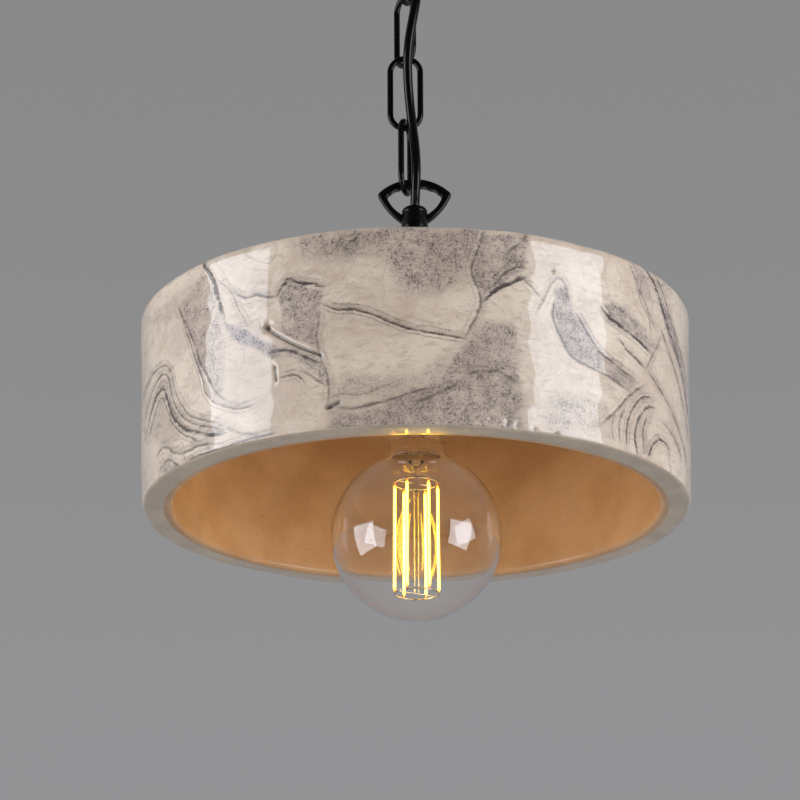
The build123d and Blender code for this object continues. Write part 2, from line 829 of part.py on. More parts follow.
upper_ring_z = shade_rim + upper_ring_height
lower_ring_z = shade_rim - lower_ring_drop
filament_turns = [radians(filament_turn + 360 * number / filament_count) for number in range(filament_count)]


def wire_ring(height, radius, hub):
    # a wire ring with two spokes that reach in to the hub
    with BuildSketch(Plane.XZ) as section:
        with Locations((radius, height)):
            Circle(ring_wire_radius)
    revolve(section.sketch, axis=Axis.Z)
    for angle in (radians(spoke_turn), radians(spoke_turn) + pi):
        outward = (cos(angle), sin(angle), 0)
        spoke = Plane(origin=(0, 0, height), x_dir=(-sin(angle), cos(angle), 0), z_dir=outward)
        with BuildSketch(spoke.offset(hub)) as spoke_section:
            Circle(spoke_radius)
        extrude(spoke_section.sketch, amount=radius - hub + thread_gap)


with BuildPart() as bulb_upper_ring:
    wire_ring(upper_ring_z, upper_ring_radius, stem_rod_radius)

with BuildPart() as bulb_lower_ring:
    wire_ring(lower_ring_z, lower_ring_radius, 0.0)

with BuildPart() as bulb_centre_wires:
    # from the end of the glass rod down to the lower ring's spokes
    for x in (-centre_wire_x, centre_wire_x):
        with BuildSketch(Plane.XY.offset(rod_end)):
            with Locations((x, x * tan(radians(spoke_turn)))):
                Circle(centre_wire_radius)
        extrude(amount=-(rod_end - lower_ring_z - spoke_radius))
    add(bulb_lower_ring.part, mode=Mode.SUBTRACT)

with BuildPart() as bulb_filaments:
    # each strip stands between the rings, on a short tab at either end
    for angle in filament_turns:
        foot = Vector(lower_ring_radius * cos(angle), lower_ring_radius * sin(angle), lower_ring_z)
        head = Vector(upper_ring_radius * cos(angle), upper_ring_radius * sin(angle), upper_ring_z)
        along = (head - foot).normalized()
        strip_start = foot + along * ((head - foot).length - filament_length) / 2
        tab_gap = ring_wire_radius + thread_gap
        with BuildSketch(Plane(origin=foot + along * tab_gap, z_dir=along)):
            Circle(filament_tab_radius)
        extrude(amount=(head - foot).length - 2 * tab_gap)
        with BuildSketch(Plane(origin=strip_start, z_dir=along)):
            Circle(filament_radius)
        extrude(amount=filament_length)

with BuildPart() as bulb_driver:
    with BuildSketch(Plane.XY.offset(stem_top + driver_gap)):
        Rectangle(driver_width, driver_thickness)
    extrude(amount=driver_height)
    with BuildSketch(Plane.XZ.offset(driver_thickness / 2)):
        with Locations(*[(x, stem_top + driver_gap + rise) for x, rise in driver_part_spots]):
            Rectangle(driver_part_width, driver_part_height)
    extrude(amount=driver_part_depth)

with BuildPart() as bulb_lead_wires:
    # from the driver down through the stem's open flare
    for x in (-lead_wire_x, lead_wire_x):
        with BuildSketch(Plane.XY.offset(stem_top - stem_flare_inside)):
            with Locations((x, 0)):
                Circle(centre_wire_radius)
        extrude(amount=stem_flare_inside + driver_gap)

pieces = {
    "ceiling_crossbar": ceiling_crossbar,
    "ceiling_tube": ceiling_tube,
    "tube_lock_washer": tube_lock_washer,
    "tube_lock_nut": tube_lock_nut,
    "canopy_cup": canopy_cup,
    "canopy_washer": canopy_washer,
    "upper_loop": upper_loop,
    "upper_grub_screw": upper_grub_screw,
    "earth_screw": earth_screw,
    "earth_ring_tag": earth_ring_tag,
    "terminal_block": terminal_block,
    "terminal_sleeves": terminal_sleeves,
    "terminal_screws": terminal_screws,
    "terminal_fixing_screw": terminal_fixing_screw,
    "cord_grip": cord_grip,
    "ceiling_cord_tail": ceiling_cord_tail,
    "ceiling_cores": ceiling_cores,
    "chain_link_1": chain_links[1],
    "chain_link_2": chain_links[2],
    "chain_link_3": chain_links[3],
    "chain_link_4": chain_links[4],
    "cord": cord,
    "lower_loop": lower_loop,
    "lower_grub_screw": lower_grub_screw,
    "spacer_sleeve": spacer_sleeve,
    "lamp_tube": lamp_tube,
    "lamp_cord_tail": lamp_cord_tail,
    "top_washer": top_washer,
    "top_rubber_washer": top_rubber_washer,
    "ceramic_shade": ceramic_shade,
    "bottom_rubber_washer": bottom_rubber_washer,
    "bottom_washer": bottom_washer,
    "lamp_nut": lamp_nut,
    "holder_cap": holder_cap,
    "holder_skirt": holder_skirt,
    "holder_insert": holder_insert,
    "thread_shell": thread_shell,
    "centre_contact": centre_contact,
    "holder_screws": holder_screws,
    "holder_cores": holder_cores,
    "bulb_globe": bulb_globe,
    "bulb_screw_cap": bulb_screw_cap,
    "bulb_cap_insulator": bulb_cap_insulator,
    "bulb_tip_contact": bulb_tip_contact,
    "bulb_stem": bulb_stem,
    "bulb_upper_ring": bulb_upper_ring,
    "bulb_lower_ring": bulb_lower_ring,
    "bulb_centre_wires": bulb_centre_wires,
    "bulb_filaments": bulb_filaments,
    "bulb_driver": bulb_driver,
    "bulb_lead_wires": bulb_lead_wires,
}

os.makedirs("parts", exist_ok=True)
for name, piece in pieces.items():
    piece.part.label = name
    export_step(piece.part, f"parts/{name}.step")
print("pieces written:", len(pieces), "rim height:", round(shade_rim, 1))
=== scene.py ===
import math
import bpy
import numpy as np
from mathutils import Matrix, Vector


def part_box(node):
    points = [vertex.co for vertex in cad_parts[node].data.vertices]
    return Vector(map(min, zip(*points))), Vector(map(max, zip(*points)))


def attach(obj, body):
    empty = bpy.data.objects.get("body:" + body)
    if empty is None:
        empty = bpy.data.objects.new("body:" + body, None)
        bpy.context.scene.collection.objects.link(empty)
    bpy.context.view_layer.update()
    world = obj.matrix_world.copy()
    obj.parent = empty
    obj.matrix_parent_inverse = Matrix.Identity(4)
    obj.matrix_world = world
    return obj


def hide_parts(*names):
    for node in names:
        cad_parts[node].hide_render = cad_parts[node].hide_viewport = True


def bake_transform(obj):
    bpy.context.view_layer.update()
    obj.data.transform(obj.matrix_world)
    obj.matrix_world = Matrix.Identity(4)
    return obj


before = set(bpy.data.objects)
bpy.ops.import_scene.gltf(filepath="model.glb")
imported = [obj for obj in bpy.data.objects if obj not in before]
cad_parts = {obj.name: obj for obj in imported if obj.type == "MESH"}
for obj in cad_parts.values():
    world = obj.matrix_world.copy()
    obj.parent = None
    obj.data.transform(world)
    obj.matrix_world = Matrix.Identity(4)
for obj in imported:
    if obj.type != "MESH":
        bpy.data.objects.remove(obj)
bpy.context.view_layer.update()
scene = bpy.context.scene
scene.view_settings.view_transform = "Standard"
mm = 0.001
up = Vector((0, 0, 1))


def paint(red, green, blue):
    # screen values 0 to 255 as the linear colour that a socket takes
    linear = []
    for value in (red, green, blue):
        value /= 255
        linear.append(value / 12.92 if value <= 0.04045 else ((value + 0.055) / 1.055) ** 2.4)
    return (*linear, 1.0)


def put(tree, kind, settings=None, **sockets):
    node = tree.nodes.new("ShaderNode" + kind)
    for name, value in (settings or {}).items():
        setattr(node, name, value)
    for name, value in sockets.items():
        wire(tree, value, node.inputs[name.replace("_", " ")])
    return node


def wire(tree, value, socket):
    if isinstance(value, bpy.types.NodeSocket):
        tree.links.new(value, socket)
    else:
        socket.default_value = value


def calc(tree, operation, *values, clamp=False):
    node = put(tree, "Math", {"operation": operation, "use_clamp": clamp})
    for value, socket in zip(values, node.inputs):
        wire(tree, value, socket)
    return node.outputs[0]


def tint(tree, factor, first, second):
    node = put(tree, "Mix", {"data_type": "RGBA"})
    wire(tree, factor, node.inputs[0])
    wire(tree, first, node.inputs[6])
    wire(tree, second, node.inputs[7])
    return node.outputs[2]


def grain(tree, place, scale, detail=2.0, roughness=0.5, distortion=0.0):
    node = put(tree, "TexNoise", Vector=place, Scale=scale, Detail=detail,
               Roughness=roughness, Distortion=distortion)
    return node.outputs["Fac"]


def ease(tree, value, low, high, floor=0.0, ceiling=1.0):
    node = put(tree, "MapRange", {"interpolation_type": "SMOOTHSTEP"}, Value=value)
    for socket, setting in zip(node.inputs[1:5], (low, high, floor, ceiling)):
        socket.default_value = setting
    return node.outputs[0]


def relief(tree, shader, height, distance, strength):
    node = put(tree, "Bump", Height=height, Distance=distance, Strength=strength)
    tree.links.new(node.outputs[0], shader.inputs["Normal"])


def newFinish(name, **sockets):
    finish = bpy.data.materials.new(name)
    finish.use_nodes = True
    tree = finish.node_tree
    shader = tree.nodes["Principled BSDF"]
    for socket, value in sockets.items():
        shader.inputs[socket.replace("_", " ")].default_value = value
    place = put(tree, "TexCoord").outputs["Object"]
    return finish, tree, shader, place


# camera
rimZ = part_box("ceramic_shade")[0].z
view = {
    "back": 2.0427, "belowRim": 0.6211,  # metres from the axis and below the rim
    "tilt": 18.576, "turn": -0.247, "roll": -0.241,  # degrees
    "lens": 172.6, "sensor": 36.0, "near": 0.05,
}

tilt, turn, roll = (math.radians(view[name]) for name in ("tilt", "turn", "roll"))
forward = Vector((math.sin(turn) * math.cos(tilt), math.cos(turn) * math.cos(tilt), math.sin(tilt)))
side = forward.cross(up).normalized()
above = side.cross(forward)
cameraRight = math.cos(roll) * side + math.sin(roll) * above
cameraUp = math.cos(roll) * above - math.sin(roll) * side
camera = bpy.data.objects.new("camera", bpy.data.cameras.new("camera"))
scene.collection.objects.link(camera)
scene.camera = camera
camera.data.lens = view["lens"]
camera.data.sensor_width = view["sensor"]
camera.data.clip_start = view["near"]
camera.matrix_world = Matrix((
    (cameraRight.x, cameraUp.x, -forward.x, 0.0),
    (cameraRight.y, cameraUp.y, -forward.y, -view["back"]),
    (cameraRight.z, cameraUp.z, -forward.z, rimZ - view["belowRim"]),
    (0, 0, 0, 1),
))

softboxColour = (0.93, 0.98, 1.06)
# name: (degrees from the camera's side, distance, middle above the rim, width, height, watts)
softboxes = {
    "left": (-74.8, 1.50, 0.07, 0.86, 1.30, 14.0),
    "right": (61.5, 1.50, 0.07, 0.86, 1.30, 14.0),
}
for name, (angle, distance, height, width, tall, watts) in softboxes.items():
    lamp = bpy.data.lights.new("softbox_" + name, "AREA")
    lamp.shape = "RECTANGLE"
    lamp.size = width
    lamp.size_y = tall
    lamp.energy = watts
    lamp.color = softboxColour
    place = bpy.data.objects.new("softbox_" + name, lamp)
    scene.collection.objects.link(place)
    angle = math.radians(angle)
    outward = Vector((math.sin(angle), -math.cos(angle), 0))
    place.location = outward * distance + Vector((0, 0, rimZ + height))
    place.rotation_euler = outward.to_track_quat("Z", "Y").to_euler()

# the light of the filaments, which the inside of the shade shows
glowLow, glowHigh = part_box("bulb_filaments")
glow = {"watts": 0.27, "radius": 0.02, "colour": (0.9, 0.93, 0.78)}
lamp = bpy.data.lights.new("filament_glow", "POINT")
lamp.energy, lamp.shadow_soft_size, lamp.color = glow["watts"], glow["radius"], glow["colour"]
place = bpy.data.objects.new("filament_glow", lamp)
scene.collection.objects.link(place)
place.location = (glowLow + glowHigh) / 2
place.visible_camera = place.visible_glossy = place.visible_transmission = False
for name in ("bulb_globe", "bulb_stem", "bulb_filaments"):
    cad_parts[name].visible_shadow = False

room = {
    "backLow": paint(147, 147, 149), "backHigh": paint(138, 138, 138),
    "low": 0.21, "high": 0.41,  # between these heights of the line of sight the backdrop darkens
    "dark": 0.2, "blur": 0.3,  # share of it that reflections show on the camera's side, and the soft edge
    "fill": 0.62, "fillColour": (1.0, 0.99, 0.98, 1),
}
world = bpy.data.worlds.new("room")
scene.world = world
world.use_nodes = True
tree = world.node_tree
tree.nodes.clear()
rays = put(tree, "LightPath")
seen = calc(tree, "MAXIMUM", rays.outputs["Is Camera Ray"], rays.outputs["Is Glossy Ray"])
seen = calc(tree, "MAXIMUM", seen, rays.outputs["Is Transmission Ray"])
heading = put(tree, "SeparateXYZ", Vector=put(tree, "TexCoord").outputs["Generated"])
climb = ease(tree, heading.outputs[2], room["low"], room["high"])
ahead = ease(tree, heading.outputs[1], -room["blur"], room["blur"], room["dark"], 1)
level = tint(tree, rays.outputs["Is Glossy Ray"], (1, 1, 1, 1), ahead)
backdrop = put(tree, "Background", Color=tint(tree, climb, room["backLow"], room["backHigh"]), Strength=level)
fill = put(tree, "Background", Color=room["fillColour"], Strength=room["fill"])
mixed = put(tree, "MixShader")
tree.links.new(seen, mixed.inputs[0])
tree.links.new(fill.outputs[0], mixed.inputs[1])
tree.links.new(backdrop.outputs[0], mixed.inputs[2])
tree.links.new(mixed.outputs[0], put(tree, "OutputWorld").inputs[0])

ground = {"height": -2.2, "half": 5.0, "colour": paint(190, 189, 187), "fleck": paint(196, 195, 193)}
floorMesh = bpy.data.meshes.new("floor")
half, level = ground["half"], ground["height"]
corners = [(-half, -half, level), (half, -half, level), (half, half, level), (-half, half, level)]
floorMesh.from_pydata(corners, [], [(0, 1, 2, 3)])
floor = bpy.data.objects.new("floor", floorMesh)
scene.collection.objects.link(floor)
finish, tree, shader, place = newFinish("floor_paper", Roughness=0.9)
paper = tint(tree, grain(tree, place, 1.5, 3), ground["colour"], ground["fleck"])
tree.links.new(paper, shader.inputs["Base Color"])
floorMesh.materials.append(finish)
print("camera, lights and floor done")


# the cord is one route, cut at the middle of each link
cord = {
    "radius": 2.7 * mm,
    "sides": 20,
    "points": [
        (0.0, 0.0, -36.3), (0.0, 0.0, -42.2), (0.8, -7.3, -53.0), (1.5, -8.1, -65.0), (2.3, -9.3, -76.5),
        (2.4, -10.9, -88.0), (1.5, -12.3, -99.5), (-0.5, -12.8, -111.0), (-2.6, -12.7, -123.0),
        (-3.7, -11.4, -135.0), (-3.5, -8.6, -147.0), (-2.6, -6.6, -159.5), (-1.3, -5.9, -172.5),
        (0.3, -6.3, -185.5), (1.1, -7.7, -198.5), (0.8, -7.3, -212.4), (0.0, 0.0, -223.2), (0.0, 0.0, -229.1),
    ],
    "cuts": (-72.6, -112.3, -152.0, -191.7),
    "bodies": ("ceiling", "link_4", "link_3", "link_2", "link_1", "lamp"),
    "hinges": (-52.7, -92.4, -132.1, -171.8, -211.6),
    "bend": 13.0,
    "order": 3, "resolution": 12,
    "light": paint(6, 6, 7), "dark": paint(2, 2, 3),
}


def readRoute(points):
    curve = bpy.data.curves.new("route", "CURVE")
    curve.dimensions = "3D"
    spline = curve.splines.new("NURBS")
    spline.points.add(len(points) - 1)
    for spot, point in zip(spline.points, points):
        spot.co = (point[0] * mm, point[1] * mm, point[2] * mm, 1)
    spline.order_u = cord["order"]
    spline.use_endpoint_u = True
    spline.resolution_u = cord["resolution"]
    holder = bpy.data.objects.new("route", curve)
    line = bpy.data.meshes.new_from_object(holder)
    found = np.array([vertex.co[:] for vertex in line.vertices])
    bpy.data.objects.remove(holder)
    bpy.data.curves.remove(curve)
    bpy.data.meshes.remove(line)
    return found


def routeRings(path, radius, sides):
    # a ring of points at every point of the route, turned as little as the bends allow
    around = np.array([1.0, 0.0, 0.0])
    turns = 2 * math.pi * np.arange(sides)[:, None] / sides
    rings = []
    for index, point in enumerate(path):
        ahead = path[min(index + 1, len(path) - 1)] - path[max(index - 1, 0)]
        ahead = ahead / np.linalg.norm(ahead)
        around = around - ahead * (around @ ahead)
        around = around / np.linalg.norm(around)
        rings.append(point + radius * (np.cos(turns) * around + np.sin(turns) * np.cross(ahead, around)))
    return rings


def tubeMesh(name, rings):
    # the end discs have points of their own, so that the wall is shaded straight through each cut
    sides = len(rings[0])
    vertices = np.vstack(list(rings) + [rings[0], rings[-1]])
    faces = []
    for ring in range(len(rings) - 1):
        for step in range(sides):
            ahead = (step + 1) % sides
            faces.append((ring * sides + step, ring * sides + ahead,
                          (ring + 1) * sides + ahead, (ring + 1) * sides + step))
    first = len(rings) * sides
    faces.append(tuple(first + step for step in reversed(range(sides))))
    faces.append(tuple(first + sides + step for step in range(sides)))
    mesh = bpy.data.meshes.new(name)
    mesh.from_pydata(vertices.tolist(), [], faces)
    mesh.shade_smooth()
    piece = bpy.data.objects.new(name, mesh)
    scene.collection.objects.link(piece)
    return piece


cordFinish, tree, shader, place = newFinish("cord_sheath", Roughness=0.2, Specular_IOR_Level=0.32)
speck = grain(tree, place, 900, 3)
tree.links.new(tint(tree, speck, cord["dark"], cord["light"]), shader.inputs["Base Color"])
relief(tree, shader, grain(tree, place, 420, 2), 0.0001, 0.2)

route = readRoute(cord["points"])
rings = routeRings(route, cord["radius"], cord["sides"])
breaks = [0] + [int(np.argmin(np.abs(route[:, 2] - cut * mm))) for cut in cord["cuts"]] + [len(route) - 1]
for number, (first, last) in enumerate(zip(breaks, breaks[1:])):
    piece = tubeMesh("cord_part_%d" % (number + 1), rings[first:last + 1])
    piece.data.materials.append(cordFinish)
    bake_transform(piece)
    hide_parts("cord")


# the shade is a turned skin with the fold lines, crevice and chips of a marbled body; sizes in mm
shade = {
    "height": 111.6, "topRadius": 154.5, "rimRadius": 152.5, "wall": 17.05, "roof": 15.6, "hole": 5.5,
    "topRound": 5.0, "rimRound": 2.5, "innerRound": 12.0,
    "frontPitch": 1.0, "backPitch": 2.0,
    "pitches": (4.0, 1.0, 2.5, 4.0, 6.0, 6.0),
    "skin": 3.5,  # how far in from the rim's radius the outside reaches
    "rimBand": 0.9, "innerEdge": 4.2,  # where the rim's own finish ends, upwards and inwards
    "drawnTo": 96,  # degrees from the front that the drawn lines reach
    "seed": 11,
    "bending": (9.0, 62.0),  # how far and over what length the layers are bent
    "layers": ((1.9, 100.0), (0.5, 34.0), (0.12, 11.0)),
    "unevenness": ((0.16, 58.0), (0.05, 17.0)),
}


def roundCorners(corners, rounds, steps):
    # tangent arcs at the corners of a closed profile, as a list of runs and arcs
    pieces = []
    count = len(corners)
    for index, (corner, size, step) in enumerate(zip(corners, rounds, steps)):
        before, after = corners[index - 1], corners[(index + 1) % count]
        into, away = before - corner, after - corner
        into, away = into / np.linalg.norm(into), away / np.linalg.norm(away)
        if size == 0:
            pieces.append(np.array([corner]))
            continue
        half = math.acos(np.clip(into @ away, -1, 1)) / 2
        reach = size / math.tan(half)
        middle = corner + (into + away) / np.linalg.norm(into + away) * size / math.sin(half)
        start, end = corner + into * reach - middle, corner + away * reach - middle
        sweep = math.pi - 2 * half
        pieces.append(np.array([
            middle + (math.sin(sweep * (1 - part)) * start + math.sin(sweep * part) * end) / math.sin(sweep)
            for part in np.linspace(0, 1, step + 1)]))
    return pieces


def shadeProfile():
    top, rim = shade["height"], 0.0
    inside = shade["topRadius"] - shade["wall"]
    corners = [np.array(point) for point in (
        (shade["hole"], top), (shade["topRadius"], top), (shade["rimRadius"], rim),
        (shade["rimRadius"] - shade["wall"], rim), (inside, top - shade["roof"]),
        (shade["hole"], top - shade["roof"]))]
    rounds = (0, shade["topRound"], shade["rimRound"], shade["rimRound"], shade["innerRound"], 0)
    arcs = roundCorners(corners, rounds, (1, 7, 5, 5, 8, 1))
    rows = []
    for index, arc in enumerate(arcs):
        rows.extend(arc)
        start, end = arc[-1], arcs[(index + 1) % len(arcs)][0]
        count = max(1, round(float(np.linalg.norm(end - start)) / shade["pitches"][index]))
        rows.extend(start + (end - start) * step / count for step in range(1, count))
    return np.array(rows)


def shadeAngles():
    # degrees from the front, close together on the side that faces the camera
    radius = shade["topRadius"]
    fine = np.radians(np.linspace(-180, 180, 4001))
    aside = np.clip((np.abs(np.degrees(fine)) - 85) / 25, 0, 1)
    pitch = shade["frontPitch"] + (shade["backPitch"] - shade["frontPitch"]) * aside * aside * (3 - 2 * aside)
    passed = np.concatenate([[0], np.cumsum(radius * np.diff(fine) / ((pitch[1:] + pitch[:-1]) / 2))])
    count = round(float(passed[-1]))
    return np.interp(np.arange(count) / count * passed[-1], passed, fine)


def waves(points, size, seed, count=14):
    # smooth noise in space: a sum of plane waves about size long
    draw = np.random.default_rng(seed)
    total = np.zeros(points.shape[:-1])
    for _ in range(count):
        heading = draw.normal(size=3)
        heading /= np.linalg.norm(heading)
        pace = 2 * math.pi / (size * draw.uniform(0.75, 1.5))
        total += np.cos(points @ heading * pace + draw.uniform(0, 2 * math.pi))
    return total / math.sqrt(count / 2)


def smoothLine(points):
    line = np.array(points, float)
    for _ in range(3):
        cut = [line[0]]
        for start, end in zip(line, line[1:]):
            cut += [start * 0.75 + end * 0.25, start * 0.25 + end * 0.75]
        line = np.array(cut + [line[-1]])
    return line


def nearLine(spots, line):
    # distance of each spot to a line, with a sign for its side, and the way along it to the nearest end
    best, signed, inset = np.full(len(spots), 1e9), np.full(len(spots), 1e9), np.zeros(len(spots))
    passed = np.concatenate([[0], np.cumsum(np.linalg.norm(np.diff(line, axis=0), axis=1))])
    for number, (start, end) in enumerate(zip(line, line[1:])):
        run = end - start
        offset = spots - start
        part = np.clip(offset @ run / (run @ run), 0, 1)
        gap = np.linalg.norm(offset - part[:, None] * run, axis=1)
        turnSign = np.where(run[0] * offset[:, 1] - run[1] * offset[:, 0] < 0, -1.0, 1.0)
        closer = gap < best
        best[closer] = gap[closer]
        signed[closer] = (gap * turnSign)[closer]
        along = passed[number] + part * (passed[number + 1] - passed[number])
        inset[closer] = np.minimum(along, passed[-1] - along)[closer]
    return best, signed, inset


def bell(gap, width):
    return np.exp(-(gap / width) ** 2)


# lines in the glaze on the camera's side: spots as degrees from the front and mm above the rim,
# then darkness, width in mm, groove in mm, and the set that keeps it, which differs for close neighbours
veins = [
    ([(-80.9, 55.9), (-71.4, 63.1), (-65.4, 63.7), (-61.7, 61.7), (-59.3, 55.2), (-58.1, 44), (-53.5, 27.6),
      (-49.2, 21.4), (-45.4, 17.9), (-41.2, 12.4)], 0.6, 0.35, 0.05, 0),
    ([(-76.5, 43.8), (-68.7, 55.7), (-63.5, 59), (-60.4, 52.9), (-59.2, 39.8), (-54.8, 26.3), (-50.4, 19.2),
      (-46.4, 15.4), (-41.7, 11.7)], 0.7, 0.4, 0.05, 1),
    ([(-74.7, 35.3), (-67.6, 48.8), (-63.6, 50.9), (-61.7, 44), (-59.7, 32.2), (-54.8, 20.3), (-49.8, 14.9),
      (-46.3, 10.9), (-41.7, 9.2)], 0.85, 0.75, 0.08, 2),
    ([(-72.8, 28.5), (-66.4, 43.5), (-64, 46.6), (-61.7, 35.6), (-58.4, 24), (-54.2, 15.7),
      (-48.9, 9.2)], 0.6, 0.4, 0.05, 0),
    ([(-67, 13.5), (-64.5, 16.6), (-61.7, 15.4), (-57, 7.3), (-53.5, 6.4), (-49.2, 7.4),
      (-42.2, 3.7)], 0.65, 0.45, 0.05, 1),
    ([(-65.5, 4.9), (-61.7, 7.3), (-60, 7), (-56.3, 0.3)], 0.6, 0.5, 0.05, 2),
    ([(-54.2, -0.2), (-49.2, 1.4), (-42.2, 0.7), (-37.4, 2.2), (-33.4, 2.1),
      (-28.3, 2.8)], 0.7, 0.7, 0.1, 0),
    ([(-41.2, 12.4), (-37.9, 7.1), (-33.9, 4.1), (-31.2, 4.8), (-28.3, 4.6)], 0.5, 0.35, 0.05, 2),
    ([(-54.8, 81.1), (-52.2, 68.9), (-50.3, 57.5), (-48, 44.6), (-47.4, 36.2), (-45.3, 29.2), (-41.7, 24),
      (-37.4, 19.5), (-33.4, 20.8)], 0.6, 0.4, 0.05, 0),
    ([(-56.7, 92.1), (-55.5, 85.8), (-50.9, 68.7), (-48.8, 54.8), (-46.3, 41.5), (-44.2, 34.2), (-42.2, 29),
      (-40.9, 27.1)], 0.7, 0.5, 0.08, 1),
    ([(-48.8, 112.8), (-47.7, 108.9), (-44.7, 98), (-43.6, 89.1), (-42.9, 82.5),
      (-41.6, 73.5)], 0.95, 0.75, 0.35, 2),
    ([(-43.6, 96.7), (-40.1, 88.8), (-38.7, 81.8), (-37.3, 73.9), (-35.1, 64.6)], 0.45, 0.35, 0.12, 0),
    ([(-38.7, 85.9), (-35.5, 79.9), (-32.8, 81.9), (-30.3, 78.2), (-28.7, 78.3)], 0.75, 0.6, 0.05, 1),
    ([(-28.7, 78.3), (-27, 83.5), (-25.8, 87.5), (-23.9, 84.2), (-20.8, 81.9),
      (-17.8, 79.4)], 0.95, 0.95, 0.05, 1),
    ([(-18.9, 70.8), (-16, 65.9), (-13.8, 65.9), (-10.3, 64.1), (-6.7, 59.6), (-3.2, 54.8), (0.9, 51.8),
      (6.8, 49.4), (9.9, 47.8)], 0.9, 0.5, 0.12, 0),
    ([(-19.1, 67.3), (-19.3, 58.5), (-19.9, 52.8), (-19, 40.7), (-17.5, 31.5), (-17.1, 21.5),
      (-17.5, 14.7)], 0.6, 0.4, 0.12, 1),
    ([(-29.9, 47.5), (-27.9, 48), (-25.1, 46.8), (-22, 41.7), (-18.6, 37.6)], 0.85, 0.6, 0.1, 2),
    ([(-27.9, 32.2), (-25.1, 33), (-23.2, 31.2), (-22, 26.9)], 0.7, 0.55, 0.05, 0),
    ([(-23.2, 36.1), (-20.1, 29.2), (-17.7, 24.5)], 0.55, 0.4, 0.05, 2),
    ([(-15.8, 12.4), (-12.1, 10.4), (-8.6, 12.2), (-5, 14.3), (-1.1, 18.4),
      (3.2, 20.6)], 0.6, 0.6, 0.05, 2),
    ([(-18, 17.3), (-15, 20.4), (-10.9, 17.3), (-7, 21.1), (-3, 25.6)], 0.3, 0.5, 0, 0),
    ([(-14.2, 97.7), (-13.2, 102.5), (-11.2, 104.8), (-10.4, 109.1)], 0.7, 0.8, 0.05, 0),
    ([(14.1, 111.8), (13.8, 109.2), (12.3, 96.8), (10.8, 87.3), (12.2, 78.4), (13.3, 70.5), (12.6, 63.5),
      (10.8, 54), (9.7, 48.8)], 0.75, 0.45, 0.2, 1),
    ([(13.3, 69.2), (16, 76.7), (19, 81.7), (21.3, 84.3), (22.4, 86.2)], 0.95, 0.95, 0.1, 2),
    ([(15.6, 79.2), (18.2, 87.6), (20.9, 91.4), (22.5, 90.4)], 0.7, 0.7, 0.05, 0),
    ([(18, 97.1), (19.4, 100.6), (21.4, 104.4), (22.4, 108.7), (22.7, 112.2)], 0.6, 0.6, 0.05, 2),
    ([(21.7, 85), (23.2, 80.5), (24.7, 77.1), (25.6, 74.2)], 0.55, 0.6, 0.05, 0),
    ([(24.4, 65.8), (26.4, 76.6), (28.1, 85.2), (30.2, 89.6), (31.8, 81.4),
      (31.3, 75)], 0.5, 0.45, 0.05, 1),
    ([(28.9, 76.8), (28, 66.1), (30.1, 55), (32.2, 45.8), (35.7, 42.5), (40.4, 40.7),
      (48.4, 35.3)], 0.65, 0.5, 0.06, 2),
    ([(33.5, 71), (36.6, 60.4), (39.5, 51.9), (44, 46.8), (50.2, 42.7)], 0.8, 0.55, 0.08, 0),
    ([(40.6, 77), (42.6, 72.1), (46.8, 69.2), (51.5, 65.4), (56.3, 62.7)], 0.95, 0.8, 0.15, 1),
    ([(44.6, 63), (47.9, 57.2), (53.4, 52.2)], 0.75, 0.5, 0.08, 2),
    ([(53.6, 112.9), (55.1, 108.3), (58.7, 101.6), (62, 88.6), (65.7, 77.3), (71, 66.8), (76.9, 48.7),
      (83.1, 34.8)], 0.9, 0.7, 0.1, 0),
    ([(57.3, 110.1), (60.9, 103.5), (64.1, 92.7), (68.3, 81.5), (74, 69.5),
      (78.5, 57.1)], 0.7, 0.5, 0.06, 1),
    ([(60.3, 80.2), (63.1, 71), (68.1, 59.1), (74.1, 43.4), (78.6, 31)], 0.6, 0.4, 0.05, 2),
    ([(60.2, 74.6), (56.2, 60), (53.4, 50.6)], 0.5, 0.35, 0.05, 1),
    ([(54, 52.1), (59.1, 44.6), (64.3, 38.4), (71.2, 25.5), (75.6, 14.1)], 0.7, 0.5, 0.05, 0),
    ([(48.1, 108.6), (51.4, 97.9), (54.9, 86.3), (58.1, 77.3)], 0.4, 0.4, 0.05, 2),
    ([(53.4, 42.4), (48.4, 33.9), (45, 23.5), (39.8, 11.4)], 0.7, 0.4, 0.1, 1),
    ([(56.1, 37.2), (51.7, 34.4), (48.3, 23.8), (46.9, 12.5), (47.3, 2.7)], 0.8, 0.5, 0.05, 0),
    ([(57.5, 31.9), (54.2, 31.1), (50.9, 21.3), (49.7, 11.3), (50.8, 0.8)], 0.8, 0.5, 0.05, 2),
    ([(46.9, 26.2), (44.6, 14.2), (45.6, 4.8)], 0.6, 0.4, 0.05, 2),
    ([(43.9, 19.9), (42.6, 13), (43.6, 4.7)], 0.6, 0.4, 0.05, 0),
    ([(54.2, 25.5), (52.5, 16.7), (53, 4.5)], 0.7, 0.4, 0.05, 1),
    ([(54.2, 1), (55.6, 9.6), (58.9, 16.1), (62.1, 16), (64.1, 10.2)], 0.8, 0.6, 0.05, 0),
    ([(60.6, 26.8), (65.2, 23.5), (68.9, 18.1), (71.6, 13.2)], 0.6, 0.4, 0.05, 1),
    ([(-1.1, 11.9), (3.1, 15.7), (7.8, 23.1), (11.4, 30.4), (13.9, 31.5), (17, 31.6),
      (20.7, 25.8)], 0.5, 0.9, 0, 0),
    ([(20.3, 13), (19.2, 6.7)], 0.7, 0.6, 0.1, 1),
]
